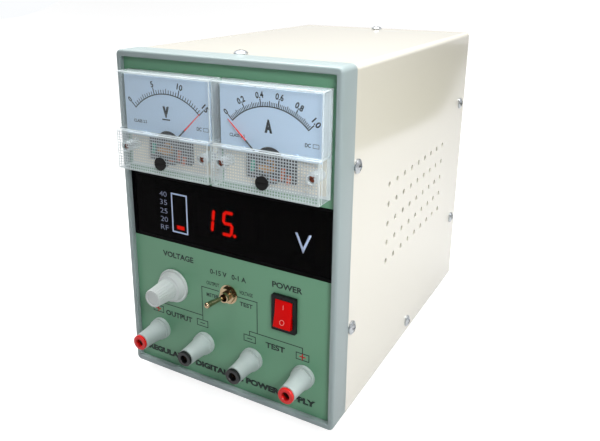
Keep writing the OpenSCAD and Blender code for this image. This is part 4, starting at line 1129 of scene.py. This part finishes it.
let_go()
bpy.ops.mesh.primitive_grid_add(x_subdivisions=1, y_subdivisions=8, size=2,
                                location=(1.28, 0, 0.002))
card = bpy.context.object
card.name = "studio_card"
settle(card)
CARD_EDGE = [(0.34, 0.3), (0.3, 0.456), (0.283, 0.6), (0.274, 0.733), (0.287, 0.841),
             (0.319, 1.009), (0.375, 1.265), (0.482, 1.794), (1.3, 5.0)]
rows = sorted({round(v.co.y, 4) for v in card.data.vertices})
for vertex in card.data.vertices:
    edge_x, edge_y = CARD_EDGE[rows.index(round(vertex.co.y, 4))]
    vertex.co = (edge_x if vertex.co.x < 1 else 9.0, edge_y, 0.002)
card.data.materials.append(finish("olive_card", srgb(92, 90, 48), 0.9, patch=0.05, patch_size=2,
                                  grain=200))
card.visible_camera = card.visible_diffuse = card.visible_shadow = False
print("floor and card placed")

# %% [markdown]
# Three soft lamps light the supply: a weak warm one from the right, a large strong one overhead
# and a small narrow one from the front right. The sky is bright behind the supply and dim in
# front of it, and white wherever the camera sees it.

# %% Light and sky
def soft_light(name, place, target, size, watts, colour):
    data = bpy.data.lights.new(name, "AREA")
    data.shape = "RECTANGLE"
    data.size, data.size_y = size
    data.energy = watts
    data.color = colour
    lamp = bpy.data.objects.new(name, data)
    bpy.context.scene.collection.objects.link(lamp)
    lamp.matrix_world = (Matrix.Translation(place)
                         @ (Vector(target) - Vector(place)).to_track_quat("-Z", "Y")
                         .to_matrix().to_4x4())
    return lamp


soft_light("key", (1.25, 0.35, 1.25), (0, 0, 0.1), (1.0, 1.0), 5, (1.0, 0.985, 0.95))
soft_light("top", (-0.2, 0.2, 1.8), (0, 0, 0.1), (1.5, 1.5), 58, (1.0, 1.0, 1.0))
front = soft_light("front", (0.5, -0.5, 0.5), (0.15, -0.13, 0.19), (0.25, 0.25), 0.28,
                   (0.96, 0.98, 1.0))
front.data.spread = math.radians(42)
world = bpy.data.worlds.new("studio")
bpy.context.scene.world = world
world.use_nodes = True
air = world.node_tree
sky = air.nodes["Background"]
sky.inputs["Color"].default_value = (0.97, 0.985, 1.0, 1)
toward = air.nodes.new("ShaderNodeTexCoord")
parts = air.nodes.new("ShaderNodeSeparateXYZ")
ramp = add_node(air, "ShaderNodeMapRange", interpolation_type="SMOOTHSTEP")
for label, value in (("From Min", -0.5), ("From Max", 0.5), ("To Min", 0.06), ("To Max", 0.82)):
    ramp.inputs[label].default_value = value
path = air.nodes.new("ShaderNodeLightPath")
wire(toward.outputs["Generated"], parts.inputs[0])
wire(parts.outputs["Y"], ramp.inputs["Value"])
bright = calc(air, "MAXIMUM", ramp.outputs[0], path.outputs["Is Camera Ray"])
wire(bright, sky.inputs["Strength"])
bpy.context.scene.view_settings.view_transform = "Standard"
print("lights placed")
